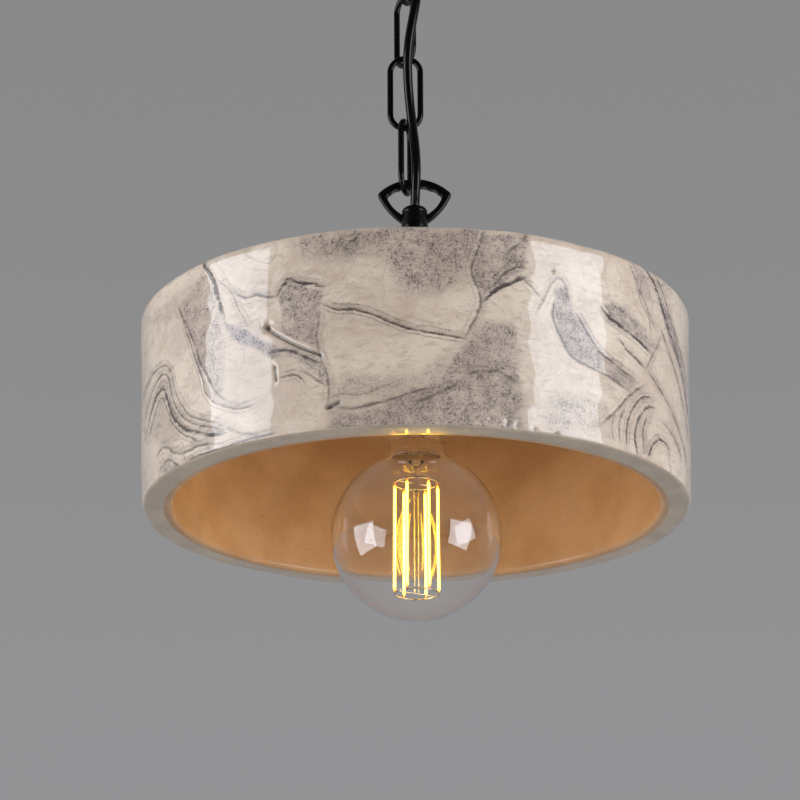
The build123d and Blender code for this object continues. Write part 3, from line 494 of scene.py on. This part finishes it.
# the open crevice and a nick: spots, depth, half width and the height of the glaze lip above it
crevices = [
    ([(-31.1, 62.0), (-28.6, 56.6), (-25.0, 50.2), (-21.5, 45.0), (-18.9, 41.8)], 1.9, 0.75, 0.7),
    ([(-17.6, 12.6), (-16.6, 13.6), (-15.2, 15.0)], 1.2, 1.1, 0.2),
    ([(-28.9, 39.5), (-28.7, 35.5), (-28.6, 31.5)], 1.0, 0.6, 0.3),
]
# pits and chips: degrees, mm above the rim, radius, depth, and darkness of the shade painted into them
pits = [
    (-30.7, 62.6, 1.7, 2.4, 1.0), (-52.2, 49.2, 0.8, 0.7, 0.8), (-17.0, 13.0, 1.7, 1.2, 1.0),
    (15.0, 5.6, 1.4, 0.9, 0.2), (18.2, 3.6, 1.7, 1.1, 0.5), (20.4, 3.0, 1.4, 1.0, 0.3),
    (24.0, 1.8, 1.6, 0.9, 0.4), (29.0, 1.2, 1.8, 0.9, 0.2), (28.5, 92.0, 0.7, 0.6, 0.7),
    (44.0, 20.0, 0.7, 0.6, 0.6), (3.0, 88.0, 0.7, 0.6, 0.6), (8.3, 60.0, 0.7, 0.6, 0.6),
    (96.0, 58.0, 1.4, 1.1, 0.8), (128.0, 24.0, 1.2, 0.9, 0.8), (-118.0, 71.0, 1.6, 1.2, 0.9),
    (-150.0, 34.0, 1.0, 0.9, 0.8), (172.0, 82.0, 1.3, 1.0, 0.8), (-96.0, 22.0, 1.1, 0.9, 0.8),
]
# gritty grey areas: outline, strength, softness of the edge in mm, and how much of it is mauve
patches = [
    ([(-54.7, 93.4), (-47.8, 106.3), (-44.2, 91.1), (-42.2, 72.7), (-42.2, 30.1), (-46.9, 42.1),
      (-51.1, 67.1), (-55.9, 86.3)], 0.55, 5, 0),
    ([(-71.9, 93.8), (-60.1, 97.9), (-48.8, 104.8), (-52.2, 88.5), (-59.2, 86.7)], 0.3, 8, 0.4),
    ([(-42.2, 73.9), (-37.3, 64.1), (-31.9, 55.5), (-27.7, 46.8), (-29.6, 44.9), (-34.3, 52.9),
      (-38.4, 59.7), (-41.6, 67.9)], 0.75, 3, 1),
    ([(-27.5, 76.8), (-25.7, 85), (-18, 78.7), (-19.4, 58.6), (-19.9, 46.5), (-23.3, 51.1),
      (-27.5, 60.6)], 0.85, 3, 0.25),
    ([(-29.6, 47.1), (-25.3, 46.3), (-18.2, 37.2), (-17.6, 25.4), (-22, 35.7),
      (-25.5, 42.5)], 0.55, 5, 0.5),
    ([(-24.5, 108.1), (-13.8, 111.1), (1, 111.4), (14.1, 111.2), (12.1, 93.4), (8.4, 83.3), (4.9, 73.5),
      (-2, 75.7), (-5.9, 90.5), (-10.8, 98), (-19, 94.7), (-23.2, 101.9)], 0.85, 13, 0.2),
    ([(13.7, 109.5), (22.4, 108.7), (22.4, 90.7), (16.9, 76.7), (13.6, 70.9), (11, 86.5)], 0.75, 5, 0.2),
    ([(-17, 10.5), (-12.1, 9.9), (-8.6, 12.5), (-3.1, 16.9), (4.8, 25), (9.5, 44.7), (13.8, 58.2),
      (18.9, 56.1), (21.4, 43.6), (22, 17.4), (20.8, -1), (10.6, -3.8), (-3.1, -4.3),
      (-18.1, -5)], 0.8, 7, 0.25),
    ([(-15, 18.7), (-13.9, 26.7), (0.9, 30.4), (4.8, 38.7), (8.4, 47.3), (4.8, 22.3), (-3.1, 15.2),
      (-10.9, 14)], 0.4, 9, 0.1),
    ([(-1.9, 9.7), (7.7, 22), (13.9, 30.1), (20.7, 24.7), (21.7, 2), (10.6, -3.2),
      (-1.9, -3.3)], 0.55, 9, 1),
    ([(28.8, 81), (31.6, 83.5), (33, 69.1), (37.7, 59.8), (40.6, 51.4), (37.1, 41.6), (32.6, 44.9),
      (29.6, 56.3)], 0.8, 4, 0.5),
    ([(36.6, 59.2), (43.9, 46.7), (50.4, 42.6), (48.4, 35.6), (40.2, 40.6), (36.1, 43.3)], 0.65, 3, 0.3),
    ([(39.9, 79.7), (42.6, 85.4), (49.9, 75.6), (58.9, 69.3), (56.3, 62.2), (47, 68.5),
      (42, 71.4)], 0.8, 6, 0.5),
    ([(58.3, 103.4), (63.8, 92.4), (73.6, 69), (79.1, 48.8), (72.5, 57.7), (64.7, 74.1),
      (60.3, 89.5)], 0.75, 3, 0.6),
    ([(26.3, 22.8), (36, 24.4), (35.9, 6.6), (27, 6)], 0.45, 10, 0.4),
    ([(36.5, 23.5), (42.9, 24.3), (39.6, 9.6), (36.4, 5.8)], 0.4, 8, 0),
    ([(-74.7, 38.2), (-67.6, 53.4), (-63.6, 56.4), (-60.2, 49.6), (-58.8, 34.9), (-54.4, 23.2),
      (-49.5, 16.9), (-41.7, 10.9), (-41.7, 9.2), (-49.8, 15.5), (-55.2, 20.9), (-60.2, 33.7),
      (-63.6, 50.1), (-67.6, 48.3)], 0.75, 1.5, 0.2),
    ([(-72, 27.2), (-64.1, 44.2), (-61.1, 32.1), (-56.8, 19.2), (-50.5, 10.3),
      (-62.6, 17.4)], 0.35, 4, 0.2),
    ([(-65.3, 4.2), (-61.6, 7), (-56, -0.4), (-56.8, -4.9)], 0.6, 3, 0.3),
    ([(48.8, 109.1), (54, 109.7), (56.5, 93.3), (52.1, 95.5)], 0.45, 5, 0.6),
    ([(55.3, 29.7), (51.6, 15.8), (52.2, 2.3), (54.4, 3.7), (53.7, 17.3), (56.9, 29.7)], 0.4, 2, 0.1),
]
# nested folds on the sides that the photograph doesn't show:
# degrees, mm above the rim, half width, half height, rise in layers
folds = [
    (112.0, 55.0, 46.0, 44.0, 5.0), (-128.0, 78.0, 50.0, 40.0, 5.5),
    (168.0, 14.0, 62.0, 50.0, 6.0), (-100.0, 0.0, 30.0, 52.0, 4.0),
]


def makeShade():
    profile = shadeProfile()
    angles = shadeAngles()
    rows, columns = len(profile), len(angles)
    radius, height = profile[:, 0][:, None], profile[:, 1][:, None]
    tangent = np.roll(profile, -1, axis=0) - np.roll(profile, 1, axis=0)
    normal = np.stack([-tangent[:, 1], tangent[:, 0]], axis=1)
    normal /= np.linalg.norm(normal, axis=1)[:, None]
    points = np.stack([radius * np.sin(angles), -radius * np.cos(angles), height + 0 * angles], axis=-1)
    onTop = profile[:, 1] > shade["height"] - 0.01
    outside = profile[:, 0] > shade["rimRadius"] - shade["skin"]
    outward = (outside | onTop).astype(float)[:, None]
    girth = 2 * math.pi * shade["topRadius"]

    # spots on the unrolled skin: mm round from the front, and mm up the wall and then over the top
    reach = np.where(onTop, shade["height"] + shade["topRadius"] - profile[:, 0], profile[:, 1])
    spots = np.stack(np.broadcast_arrays(angles * shade["topRadius"], reach[:, None]), axis=-1).reshape(-1, 2)
    drawn = outside[:, None] & (np.abs(angles) < math.radians(shade["drawnTo"]))[None, :]
    front = np.flatnonzero(drawn.ravel())
    frontSpots = spots[front]

    def at(degrees, mmUp):
        return np.array([math.radians(degrees) * shade["topRadius"], mmUp])

    def gapTo(degrees, mmUp, wide=1.0, tall=1.0):
        offset = spots - at(degrees, mmUp)
        offset[:, 0] = (offset[:, 0] + girth / 2) % girth - girth / 2
        return np.hypot(offset[:, 0] / wide, offset[:, 1] / tall)

    def onGrid(values, fill=0.0):
        whole = np.full(rows * columns, fill)
        whole[front] = values
        return whole.reshape(rows, columns)

    # layers, which show on the sides and the back
    seed = shade["seed"]
    shift, length = shade["bending"]
    bent = points + shift * np.stack([waves(points, length, seed + number) for number in (1, 2, 3)], axis=-1)
    (broad, broadSize), (narrow, narrowSize), (small, smallSize) = shade["layers"]
    layers = broad * waves(bent, broadSize, seed + 4) + narrow * waves(bent, narrowSize, seed + 5)
    layers = layers + small * waves(points, smallSize, seed + 6)
    busy = np.clip((waves(points, 110.0, seed + 7) + 0.35) * 1.2, 0, 1)
    aside = np.clip((np.abs(np.degrees(angles)) - 72) / 20, 0, 1)[None, :]
    overTop = np.clip((reach - shade["height"] - 1) / 8, 0, 1)[:, None]
    hidden = np.maximum(aside * aside * (3 - 2 * aside), overTop)
    for degrees, mmUp, wide, tall, rise in folds:
        size = gapTo(degrees, mmUp, wide, tall).reshape(rows, columns)
        layers = layers + rise * np.exp(-size ** 2 * 0.8)
        busy = np.maximum(busy, np.clip(1.55 - size, 0, 1))
    flank = np.clip((np.abs(np.degrees(angles)) - 22) / 30, 0, 1)[None, :]
    busy = busy * np.maximum(hidden, 0.15 + 0.45 * flank)
    across = np.gradient(layers, axis=1) / np.maximum(np.gradient(angles)[None, :] * radius, 0.05)
    steps = np.linalg.norm(np.gradient(profile, axis=0), axis=1)[:, None]
    slope = np.clip(np.hypot(across, np.gradient(layers, axis=0) / np.maximum(steps, 0.05)), 0.02, 2.0)

    # single lines in three sets
    sunk = np.zeros(len(front))
    sets = []
    for wanted in range(3):
        nearest, signed = np.full(len(front), 50.0), np.full(len(front), 50.0)
        weight, width = np.zeros(len(front)), np.full(len(front), 0.5)
        for line, darkness, wide, groove, kept in veins:
            if kept != wanted:
                continue
            gap, sided, inset = nearLine(frontSpots, smoothLine([at(*spot) for spot in line]))
            closer = gap < nearest
            nearest[closer], signed[closer] = gap[closer], sided[closer]
            width[closer] = wide * (0.9 + (frontSpots[closer, 0] / 240) ** 2)
            weight[closer] = min(1, 1.1 * darkness) * np.clip(0.25 + inset[closer] / 7, 0, 1)
            sunk -= groove * bell(gap, 0.8)
        near = np.clip((4.2 - nearest) / 1.2, 0, 1)
        sets.append((onGrid(signed, 50.0), onGrid(near * weight), onGrid(width)))

    # crevices and pits with painted shade in them, and gritty areas
    dark = np.zeros(len(front))
    for line, depth, wide, lip in crevices:
        gap, sided, _ = nearLine(frontSpots, smoothLine([at(*spot) for spot in line]))
        sunk += lip * bell(sided - 1.9, 1.0) - depth * bell(gap, wide)
        # painted shade along each crevice, where its groove is cut
        dark = np.maximum(dark, bell(gap, wide))
    sunk, dark = onGrid(sunk), onGrid(dark)
    ripple = waves(points, 5.0, seed + 20)
    for degrees, mmUp, size, depth, darkness in pits:
        gap = gapTo(degrees, mmUp).reshape(rows, columns) * (1 + 0.18 * ripple)
        sunk -= depth * bell(gap, size)
        # painted shade inside each pit
        dark = np.maximum(dark, darkness * bell(gap, size * 0.75))
    grey, mauve = np.zeros(len(front)), np.zeros(len(front))
    flow = 1.6 * waves(points, 26.0, seed + 30).ravel()[front]
    for outline, strength, soft, share in patches:
        outline = np.array([at(*spot) for spot in outline])
        gap = nearLine(frontSpots, np.vstack([outline, outline[:1]]))[0]
        inside = np.zeros(len(front), bool)
        for start, end in zip(outline, np.roll(outline, -1, axis=0)):
            crosses = (start[1] > frontSpots[:, 1]) != (end[1] > frontSpots[:, 1])
            slant = (end[0] - start[0]) / (end[1] - start[1] or 1e-9)
            inside ^= crosses & (frontSpots[:, 0] < start[0] + slant * (frontSpots[:, 1] - start[1]))
        part = np.clip(0.5 + (np.where(inside, gap, -gap) + flow * min(1, soft / 6)) / soft, 0, 1)
        part = strength * part * part * (3 - 2 * part)
        mauve = np.where(part > grey, share, mauve)
        grey = np.maximum(grey, part)
    cloudy = np.clip((waves(points, 75.0, seed + 31) - 0.1) * 0.9, 0, 0.75) * hidden
    grey = np.maximum(onGrid(grey), cloudy)
    mauve = onGrid(mauve) + hidden * np.clip(waves(points, 90.0, seed + 32), 0, 1)

    (broad, broadSize), (small, smallSize) = shade["unevenness"]
    lift = broad * waves(points, broadSize, seed + 40) + small * waves(points, smallSize, seed + 41) + sunk
    lift = lift * outward
    points = points + lift[..., None] * np.stack([
        normal[:, 0][:, None] * np.sin(angles), -normal[:, 0][:, None] * np.cos(angles),
        normal[:, 1][:, None] + 0 * angles], axis=-1)

    mesh = bpy.data.meshes.new("shade_skin")
    vertices = points.reshape(-1, 3) * mm + np.array([0, 0, rimZ])
    row, column = np.meshgrid(np.arange(rows), np.arange(columns), indexing="ij")
    nextRow, nextColumn = (row + 1) % rows, (column + 1) % columns
    faces = np.stack([row * columns + column, nextRow * columns + column,
                      nextRow * columns + nextColumn, row * columns + nextColumn], axis=-1).reshape(-1, 4)
    mesh.from_pydata(vertices.tolist(), [], faces.tolist())
    mesh.shade_smooth()

    def keep(name, *values):
        attribute = mesh.attributes.new(name, "FLOAT_VECTOR", "POINT")
        packed = np.stack([np.broadcast_to(value, (rows, columns)).ravel() for value in values], axis=-1)
        attribute.data.foreach_set("vector", packed.astype(np.float32).ravel())

    keep("layers", layers, slope, busy)
    # the grey areas, the painted shade in crevices and pits, and the share of mauve
    keep("gritAndRecessShade", grey, dark, np.clip(mauve, 0, 1))
    for number, values in enumerate(sets):
        keep("line%d" % number, *values)
    piece = bpy.data.objects.new("shade_skin", mesh)
    scene.collection.objects.link(piece)
    middleRow = (profile + np.roll(profile, -1, axis=0)) / 2
    kinds = np.zeros(rows, int)
    inner = middleRow[:, 0] < shade["rimRadius"] - shade["wall"] + shade["innerEdge"]
    inner &= middleRow[:, 1] < shade["height"] - 0.01
    under = (middleRow[:, 1] < shade["rimBand"]) & ~inner
    kinds[under] = 1
    kinds[inner] = 2
    mesh.polygons.foreach_set("material_index", np.repeat(kinds, columns).astype(np.int32))
    return piece


glaze = {
    "cream": paint(223, 204, 184), "shadedCream": paint(205, 184, 165), "paleCream": paint(229, 213, 196),
    "blush": paint(194, 171, 154), "streak": paint(180, 160, 145),
    "brown": paint(186, 166, 152), "deepBrown": paint(167, 148, 134), "mauve": paint(153, 141, 145),
    "stripe": paint(124, 108, 101), "dust": paint(70, 57, 50), "fleck": paint(206, 189, 174),
    "thin": paint(108, 94, 89), "seam": paint(92, 79, 75), "stroke": paint(66, 53, 48),
    # painted shade for the crevices and pits
    "recessShade": paint(34, 27, 25),
    "rim": (paint(193, 175, 155), paint(176, 158, 139), paint(122, 105, 90)),
    "inside": (paint(188, 145, 104), paint(172, 128, 86), paint(128, 88, 56), paint(222, 186, 146)),
}


def glazeFinish():
    finish, tree, shader, place = newFinish(
        "marbled_glaze", Roughness=0.45, Coat_Weight=1.0, Coat_Roughness=0.04, Coat_IOR=1.5)

    def stored(name):
        kept = put(tree, "Attribute", {"attribute_name": name})
        return put(tree, "SeparateXYZ", Vector=kept.outputs["Vector"]).outputs

    coarse = grain(tree, place, 34, 4, 0.55)
    middle = grain(tree, place, 150, 7, 0.72)
    fine = grain(tree, place, 860, 4, 0.8)
    stretched = put(tree, "Mapping", Vector=place)
    stretched.inputs["Scale"].default_value = (1, 1, 3.2)
    drag = grain(tree, stretched.outputs[0], 100, 6, 0.7, 0.6)
    mottle = calc(tree, "SUBTRACT", middle, 0.5)
    sand = calc(tree, "SUBTRACT", fine, 0.5)

    # cream body
    body = tint(tree, ease(tree, coarse, 0.36, 0.64), glaze["cream"], glaze["shadedCream"])
    body = tint(tree, ease(tree, middle, 0.42, 0.62, 0, 0.6), body, glaze["paleCream"])
    body = tint(tree, ease(tree, grain(tree, place, 19, 3), 0.5, 0.66, 0, 0.4), body, glaze["blush"])
    body = tint(tree, ease(tree, drag, 0.5, 0.64, 0, 0.55), body, glaze["streak"])

    # layers that darken towards their lower edge
    layer = stored("layers")
    busy = layer[2]
    field = calc(tree, "ADD", layer[0], calc(tree, "MULTIPLY", mottle, 0.7))
    whole = calc(tree, "FLOOR", field)
    part = calc(tree, "SUBTRACT", field, whole)
    chance = put(tree, "TexWhiteNoise", {"noise_dimensions": "1D"}, W=whole).outputs["Value"]
    fade = calc(tree, "MULTIPLY", ease(tree, part, 0.0, 0.75, 1, 0), ease(tree, chance, 0.25, 0.8, 0.1, 0.75))
    fade = calc(tree, "MULTIPLY", fade, busy)
    gap = calc(tree, "ADD", calc(tree, "DIVIDE", part, layer[1]), calc(tree, "MULTIPLY", sand, 3.0))
    seam = calc(tree, "MULTIPLY", ease(tree, gap, 0.1, 1.2, 1, 0), busy)
    third = calc(tree, "MULTIPLY", field, 3.0)
    thirdGap = calc(tree, "DIVIDE", calc(tree, "FRACT", third), calc(tree, "MULTIPLY", layer[1], 3.0))
    thirdGap = calc(tree, "ADD", thirdGap, calc(tree, "MULTIPLY", sand, 3.0))
    thin = calc(tree, "MULTIPLY", ease(tree, thirdGap, 0.0, 0.8, 0.6, 0), fade)

    # single lines, each with a smear on its upper side
    strokes, smears, stripes = 0.0, 0.0, 0.0
    for number in range(3):
        line = stored("line%d" % number)
        moved = calc(tree, "ADD", line[0], calc(tree, "MULTIPLY", mottle, 3.4))
        swell = calc(tree, "MULTIPLY", line[2], ease(tree, drag, 0.36, 0.62, 0.0, 1.3))
        offset = calc(tree, "SUBTRACT", calc(tree, "ABSOLUTE", moved), swell)
        offset = calc(tree, "ADD", offset, calc(tree, "MULTIPLY", sand, 2.6))
        stroke = calc(tree, "MULTIPLY", ease(tree, offset, -0.45, 0.55, 1, 0), line[1])
        smear = calc(tree, "MULTIPLY", ease(tree, moved, -1.0, 0.0, 0, 1), ease(tree, moved, 0.0, 4.0, 1, 0))
        smear = calc(tree, "MULTIPLY", smear, line[1])
        lane = put(tree, "CombineXYZ", X=calc(tree, "MULTIPLY", moved, 0.75),
                   Y=calc(tree, "MULTIPLY_ADD", drag, 2.5, 9.0 * number)).outputs[0]
        lane = put(tree, "TexNoise", {"noise_dimensions": "2D"},
                   Vector=lane, Scale=1.0, Detail=4.0, Roughness=0.7)
        stripe = calc(tree, "MULTIPLY", ease(tree, lane.outputs["Fac"], 0.49, 0.66), line[1])
        strokes, smears = calc(tree, "MAXIMUM", strokes, stroke), calc(tree, "MAXIMUM", smears, smear)
        stripes = calc(tree, "MAXIMUM", stripes, stripe)

    # gritty areas, and the painted shade in the crevices and pits
    gritAndRecessShade = stored("gritAndRecessShade")
    amount = calc(tree, "MAXIMUM", gritAndRecessShade[0], calc(tree, "MULTIPLY", smears, 0.62))
    amount = calc(tree, "MAXIMUM", amount, calc(tree, "MULTIPLY", fade, 0.95))
    uneven = calc(tree, "MULTIPLY", calc(tree, "SUBTRACT", drag, 0.5), 1.6)
    uneven = calc(tree, "ADD", calc(tree, "MULTIPLY", mottle, 3.4), uneven)
    amount = calc(tree, "MULTIPLY", amount, calc(tree, "ADD", uneven, 1.08), clamp=True)
    brown = tint(tree, ease(tree, coarse, 0.42, 0.6), glaze["brown"], glaze["deepBrown"])
    hue = tint(tree, calc(tree, "MULTIPLY", gritAndRecessShade[2], 0.8), brown, glaze["mauve"])
    body = tint(tree, calc(tree, "MULTIPLY", amount, 0.92), body, hue)
    body = tint(tree, calc(tree, "MULTIPLY", stripes, 0.6), body, glaze["stripe"])
    dust = ease(tree, calc(tree, "ADD", fine, calc(tree, "MULTIPLY", mottle, 0.3)), 0.45, 0.72)
    near = calc(tree, "MAXIMUM", amount, calc(tree, "MULTIPLY", stripes, 0.6))
    near = calc(tree, "ADD", calc(tree, "MULTIPLY", near, 1.05), 0.12)
    dust = calc(tree, "MULTIPLY", dust, near, clamp=True)
    body = tint(tree, dust, body, glaze["dust"])
    pale = calc(tree, "MULTIPLY", ease(tree, fine, 0.48, 0.32, 0, 0.6), amount)
    body = tint(tree, pale, body, glaze["fleck"])
    body = tint(tree, thin, body, glaze["thin"])
    seamShare = calc(tree, "MULTIPLY", seam, ease(tree, chance, 0.1, 0.6, 0.35, 0.85))
    body = tint(tree, seamShare, body, glaze["seam"])
    body = tint(tree, calc(tree, "MULTIPLY", strokes, 0.95), body, glaze["stroke"])
    # painted shade in the crevices and pits
    body = tint(tree, calc(tree, "MULTIPLY", gritAndRecessShade[1], 0.95), body, glaze["recessShade"])
    tree.links.new(body, shader.inputs["Base Color"])

    height = calc(tree, "SUBTRACT", calc(tree, "MULTIPLY", coarse, 0.5), calc(tree, "MULTIPLY", strokes, 0.7))
    height = calc(tree, "SUBTRACT", height, calc(tree, "MULTIPLY", calc(tree, "MAXIMUM", seam, dust), 0.5))
    relief(tree, shader, height, 0.0004, 0.5)
    return finish


def rimFinish():
    finish, tree, shader, place = newFinish(
        "rim_glaze", Roughness=0.4, Coat_Weight=1.0, Coat_Roughness=0.03, Coat_IOR=1.6)
    light, shadow, speck = glaze["rim"]
    cloud = grain(tree, place, 40, 4, 0.55)
    colour = tint(tree, ease(tree, cloud, 0.35, 0.65), light, shadow)
    specks = ease(tree, grain(tree, place, 800, 3, 0.6), 0.58, 0.72, 0, 0.5)
    tree.links.new(tint(tree, specks, colour, speck), shader.inputs["Base Color"])
    swells = calc(tree, "MULTIPLY", grain(tree, place, 110, 2), 2.0)
    relief(tree, shader, calc(tree, "ADD", grain(tree, place, 620, 2, 0.6), swells), 0.0006, 0.8)
    return finish


def insideFinish():
    finish, tree, shader, place = newFinish(
        "inside_glaze", Roughness=0.38, Coat_Weight=0.5, Coat_Roughness=0.2, Coat_IOR=1.5)
    light, shadow, speck, fleck = glaze["inside"]
    cloud = grain(tree, place, 26, 4, 0.55)
    colour = tint(tree, ease(tree, cloud, 0.35, 0.65), light, shadow)
    specks = ease(tree, grain(tree, place, 700, 3, 0.6), 0.58, 0.74, 0, 0.45)
    colour = tint(tree, specks, colour, speck)
    pale = ease(tree, grain(tree, place, 900, 2, 0.6), 0.64, 0.76, 0, 0.5)
    tree.links.new(tint(tree, pale, colour, fleck), shader.inputs["Base Color"])
    relief(tree, shader, grain(tree, place, 200, 3), 0.0003, 0.3)
    return finish


shadeSkin = makeShade()
for finish in (glazeFinish(), rimFinish(), insideFinish()):
    shadeSkin.data.materials.append(finish)
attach(shadeSkin, "lamp")
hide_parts("ceramic_shade")
print("shade skin has %d points" % len(shadeSkin.data.vertices))


def plainFinish(name, light, shadow, size, depth, strength, fineSize, sockets):
    finish, tree, shader, place = newFinish(name, **sockets)
    cloud = grain(tree, place, size, 4, 0.6)
    tree.links.new(tint(tree, ease(tree, cloud, 0.35, 0.65), light, shadow), shader.inputs["Base Color"])
    roughness = shader.inputs["Roughness"].default_value
    worn = ease(tree, grain(tree, place, size * 2.3, 3), 0.3, 0.7, roughness * 0.85, roughness * 1.2)
    tree.links.new(worn, shader.inputs["Roughness"])
    relief(tree, shader, grain(tree, place, fineSize, 3, 0.6), depth, strength)
    return finish


# name: (light and dark colour, grain size, depth, strength and grain of the bumps, sockets)
plainFinishes = {
    "black_enamel": (paint(2, 2, 3), paint(5, 5, 6), 300, 0.0001, 0.1, 700,
                     {"Roughness": 0.16, "Specular_IOR_Level": 0.28}),
    "black_cast": (paint(2, 2, 3), paint(6, 6, 7), 380, 0.0001, 0.2, 800,
                   {"Roughness": 0.2, "Specular_IOR_Level": 0.3}),
    "zinc_steel": (paint(182, 184, 186), paint(158, 160, 164), 220, 0.0001, 0.2, 900,
                   {"Metallic": 1.0, "Roughness": 0.32}),
    "brass": (paint(206, 172, 104), paint(182, 146, 82), 260, 0.0001, 0.2, 900,
              {"Metallic": 1.0, "Roughness": 0.28}),
    "rubber": (paint(26, 26, 27), paint(38, 37, 37), 300, 0.0002, 0.5, 1200, {"Roughness": 0.75}),
    "white_plastic": (paint(228, 227, 222), paint(218, 216, 210), 180, 0.0001, 0.25, 900,
                      {"Roughness": 0.42}),
    "black_plastic": (paint(16, 16, 17), paint(24, 23, 23), 240, 0.0001, 0.2, 700,
                      {"Roughness": 0.22, "Coat_Weight": 0.3, "Coat_Roughness": 0.1}),
    "white_ceramic": (paint(232, 230, 224), paint(222, 218, 210), 160, 0.0002, 0.3, 900,
                      {"Roughness": 0.3, "Coat_Weight": 0.6}),
    "nickel": (paint(200, 198, 190), paint(178, 176, 170), 240, 0.0001, 0.2, 900,
               {"Metallic": 1.0, "Roughness": 0.24}),
    "aluminium": (paint(206, 207, 208), paint(186, 188, 190), 240, 0.0001, 0.25, 900,
                  {"Metallic": 1.0, "Roughness": 0.3}),
    "black_glass": (paint(14, 13, 14), paint(22, 20, 20), 200, 0.0001, 0.15, 700, {"Roughness": 0.12}),
    "board": (paint(36, 92, 54), paint(28, 76, 44), 500, 0.0001, 0.4, 1400,
              {"Roughness": 0.4, "Coat_Weight": 0.4}),
}
made = {name: plainFinish(name, *settings) for name, settings in plainFinishes.items()}


def coreFinish():
    finish, tree, shader, place = newFinish("core_insulation", Roughness=0.4)
    pick = put(tree, "NewGeometry").outputs["Random Per Island"]
    colour = tint(tree, calc(tree, "GREATER_THAN", pick, 0.33), paint(112, 70, 40), paint(46, 86, 150))
    stripe = calc(tree, "GREATER_THAN", grain(tree, place, 260, 0), 0.52)
    earth = tint(tree, stripe, paint(206, 196, 60), paint(60, 130, 70))
    colour = tint(tree, calc(tree, "GREATER_THAN", pick, 0.66), colour, earth)
    tree.links.new(tint(tree, 0.12, colour, grain(tree, place, 900, 2)), shader.inputs["Base Color"])
    relief(tree, shader, grain(tree, place, 700, 2), 0.0001, 0.3)
    return finish


def glassFinish():
    finish, tree, shader, place = newFinish("clear_glass", Roughness=0.0, IOR=1.52, Transmission_Weight=1.0)
    film = tint(tree, grain(tree, place, 30, 2), (1.0, 1.0, 1.0, 1), (0.985, 0.99, 0.99, 1))
    tree.links.new(film, shader.inputs["Base Color"])
    relief(tree, shader, grain(tree, place, 45, 2), 0.0003, 0.08)
    return finish


# filaments, bright in the middle of each rod and orange at its ends
rods = {"end": paint(255, 120, 12), "middle": paint(255, 204, 58), "low": 0.6, "rise": 15.0, "ends": 3.5 * mm}


def filamentFinish():
    low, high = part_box("bulb_filaments")
    finish, tree, shader, place = newFinish("filament", Roughness=0.5)
    height = put(tree, "SeparateXYZ", Vector=place).outputs[2]
    fromBottom, fromTop = calc(tree, "SUBTRACT", height, low.z), calc(tree, "SUBTRACT", high.z, height)
    body = ease(tree, calc(tree, "MINIMUM", fromBottom, fromTop), 0.0, rods["ends"])
    beads = ease(tree, grain(tree, place, 1400, 2), 0.35, 0.65, 0.75, 1)
    colour = tint(tree, body, rods["end"], rods["middle"])
    tree.links.new(colour, shader.inputs["Base Color"])
    tree.links.new(colour, shader.inputs["Emission Color"])
    strength = calc(tree, "MULTIPLY_ADD", body, rods["rise"], rods["low"])
    tree.links.new(calc(tree, "MULTIPLY", strength, beads), shader.inputs["Emission Strength"])
    return finish


made.update(cord_sheath=cordFinish, core_insulation=coreFinish(), clear_glass=glassFinish(),
            filament=filamentFinish())
finishes = {
    "black_enamel": ("chain_link_1", "chain_link_2", "chain_link_3", "chain_link_4"),
    "black_cast": ("upper_loop", "lower_loop", "canopy_cup", "canopy_washer", "spacer_sleeve", "top_washer",
                   "lower_grub_screw", "upper_grub_screw"),
    "zinc_steel": ("ceiling_crossbar", "ceiling_tube", "tube_lock_washer", "tube_lock_nut", "earth_ring_tag",
                   "terminal_screws", "terminal_fixing_screw", "lamp_tube", "bottom_washer", "lamp_nut",
                   "holder_screws"),
    "brass": ("earth_screw", "terminal_sleeves", "centre_contact"),
    "rubber": ("top_rubber_washer", "bottom_rubber_washer"),
    "white_plastic": ("terminal_block", "cord_grip"),
    "black_plastic": ("holder_cap", "holder_skirt"),
    "white_ceramic": ("holder_insert",),
    "nickel": ("thread_shell", "bulb_screw_cap", "bulb_upper_ring", "bulb_lower_ring", "bulb_centre_wires"),
    "aluminium": ("bulb_tip_contact",),
    "black_glass": ("bulb_cap_insulator",),
    "board": ("bulb_driver",),
    "cord_sheath": ("ceiling_cord_tail", "lamp_cord_tail"),
    "core_insulation": ("ceiling_cores", "holder_cores", "bulb_lead_wires"),
    "clear_glass": ("bulb_globe", "bulb_stem"),
    "filament": ("bulb_filaments",),
}
for finish, names in finishes.items():
    for name in names:
        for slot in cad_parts[name].material_slots:
            slot.material = made[finish]
print("finishes done")
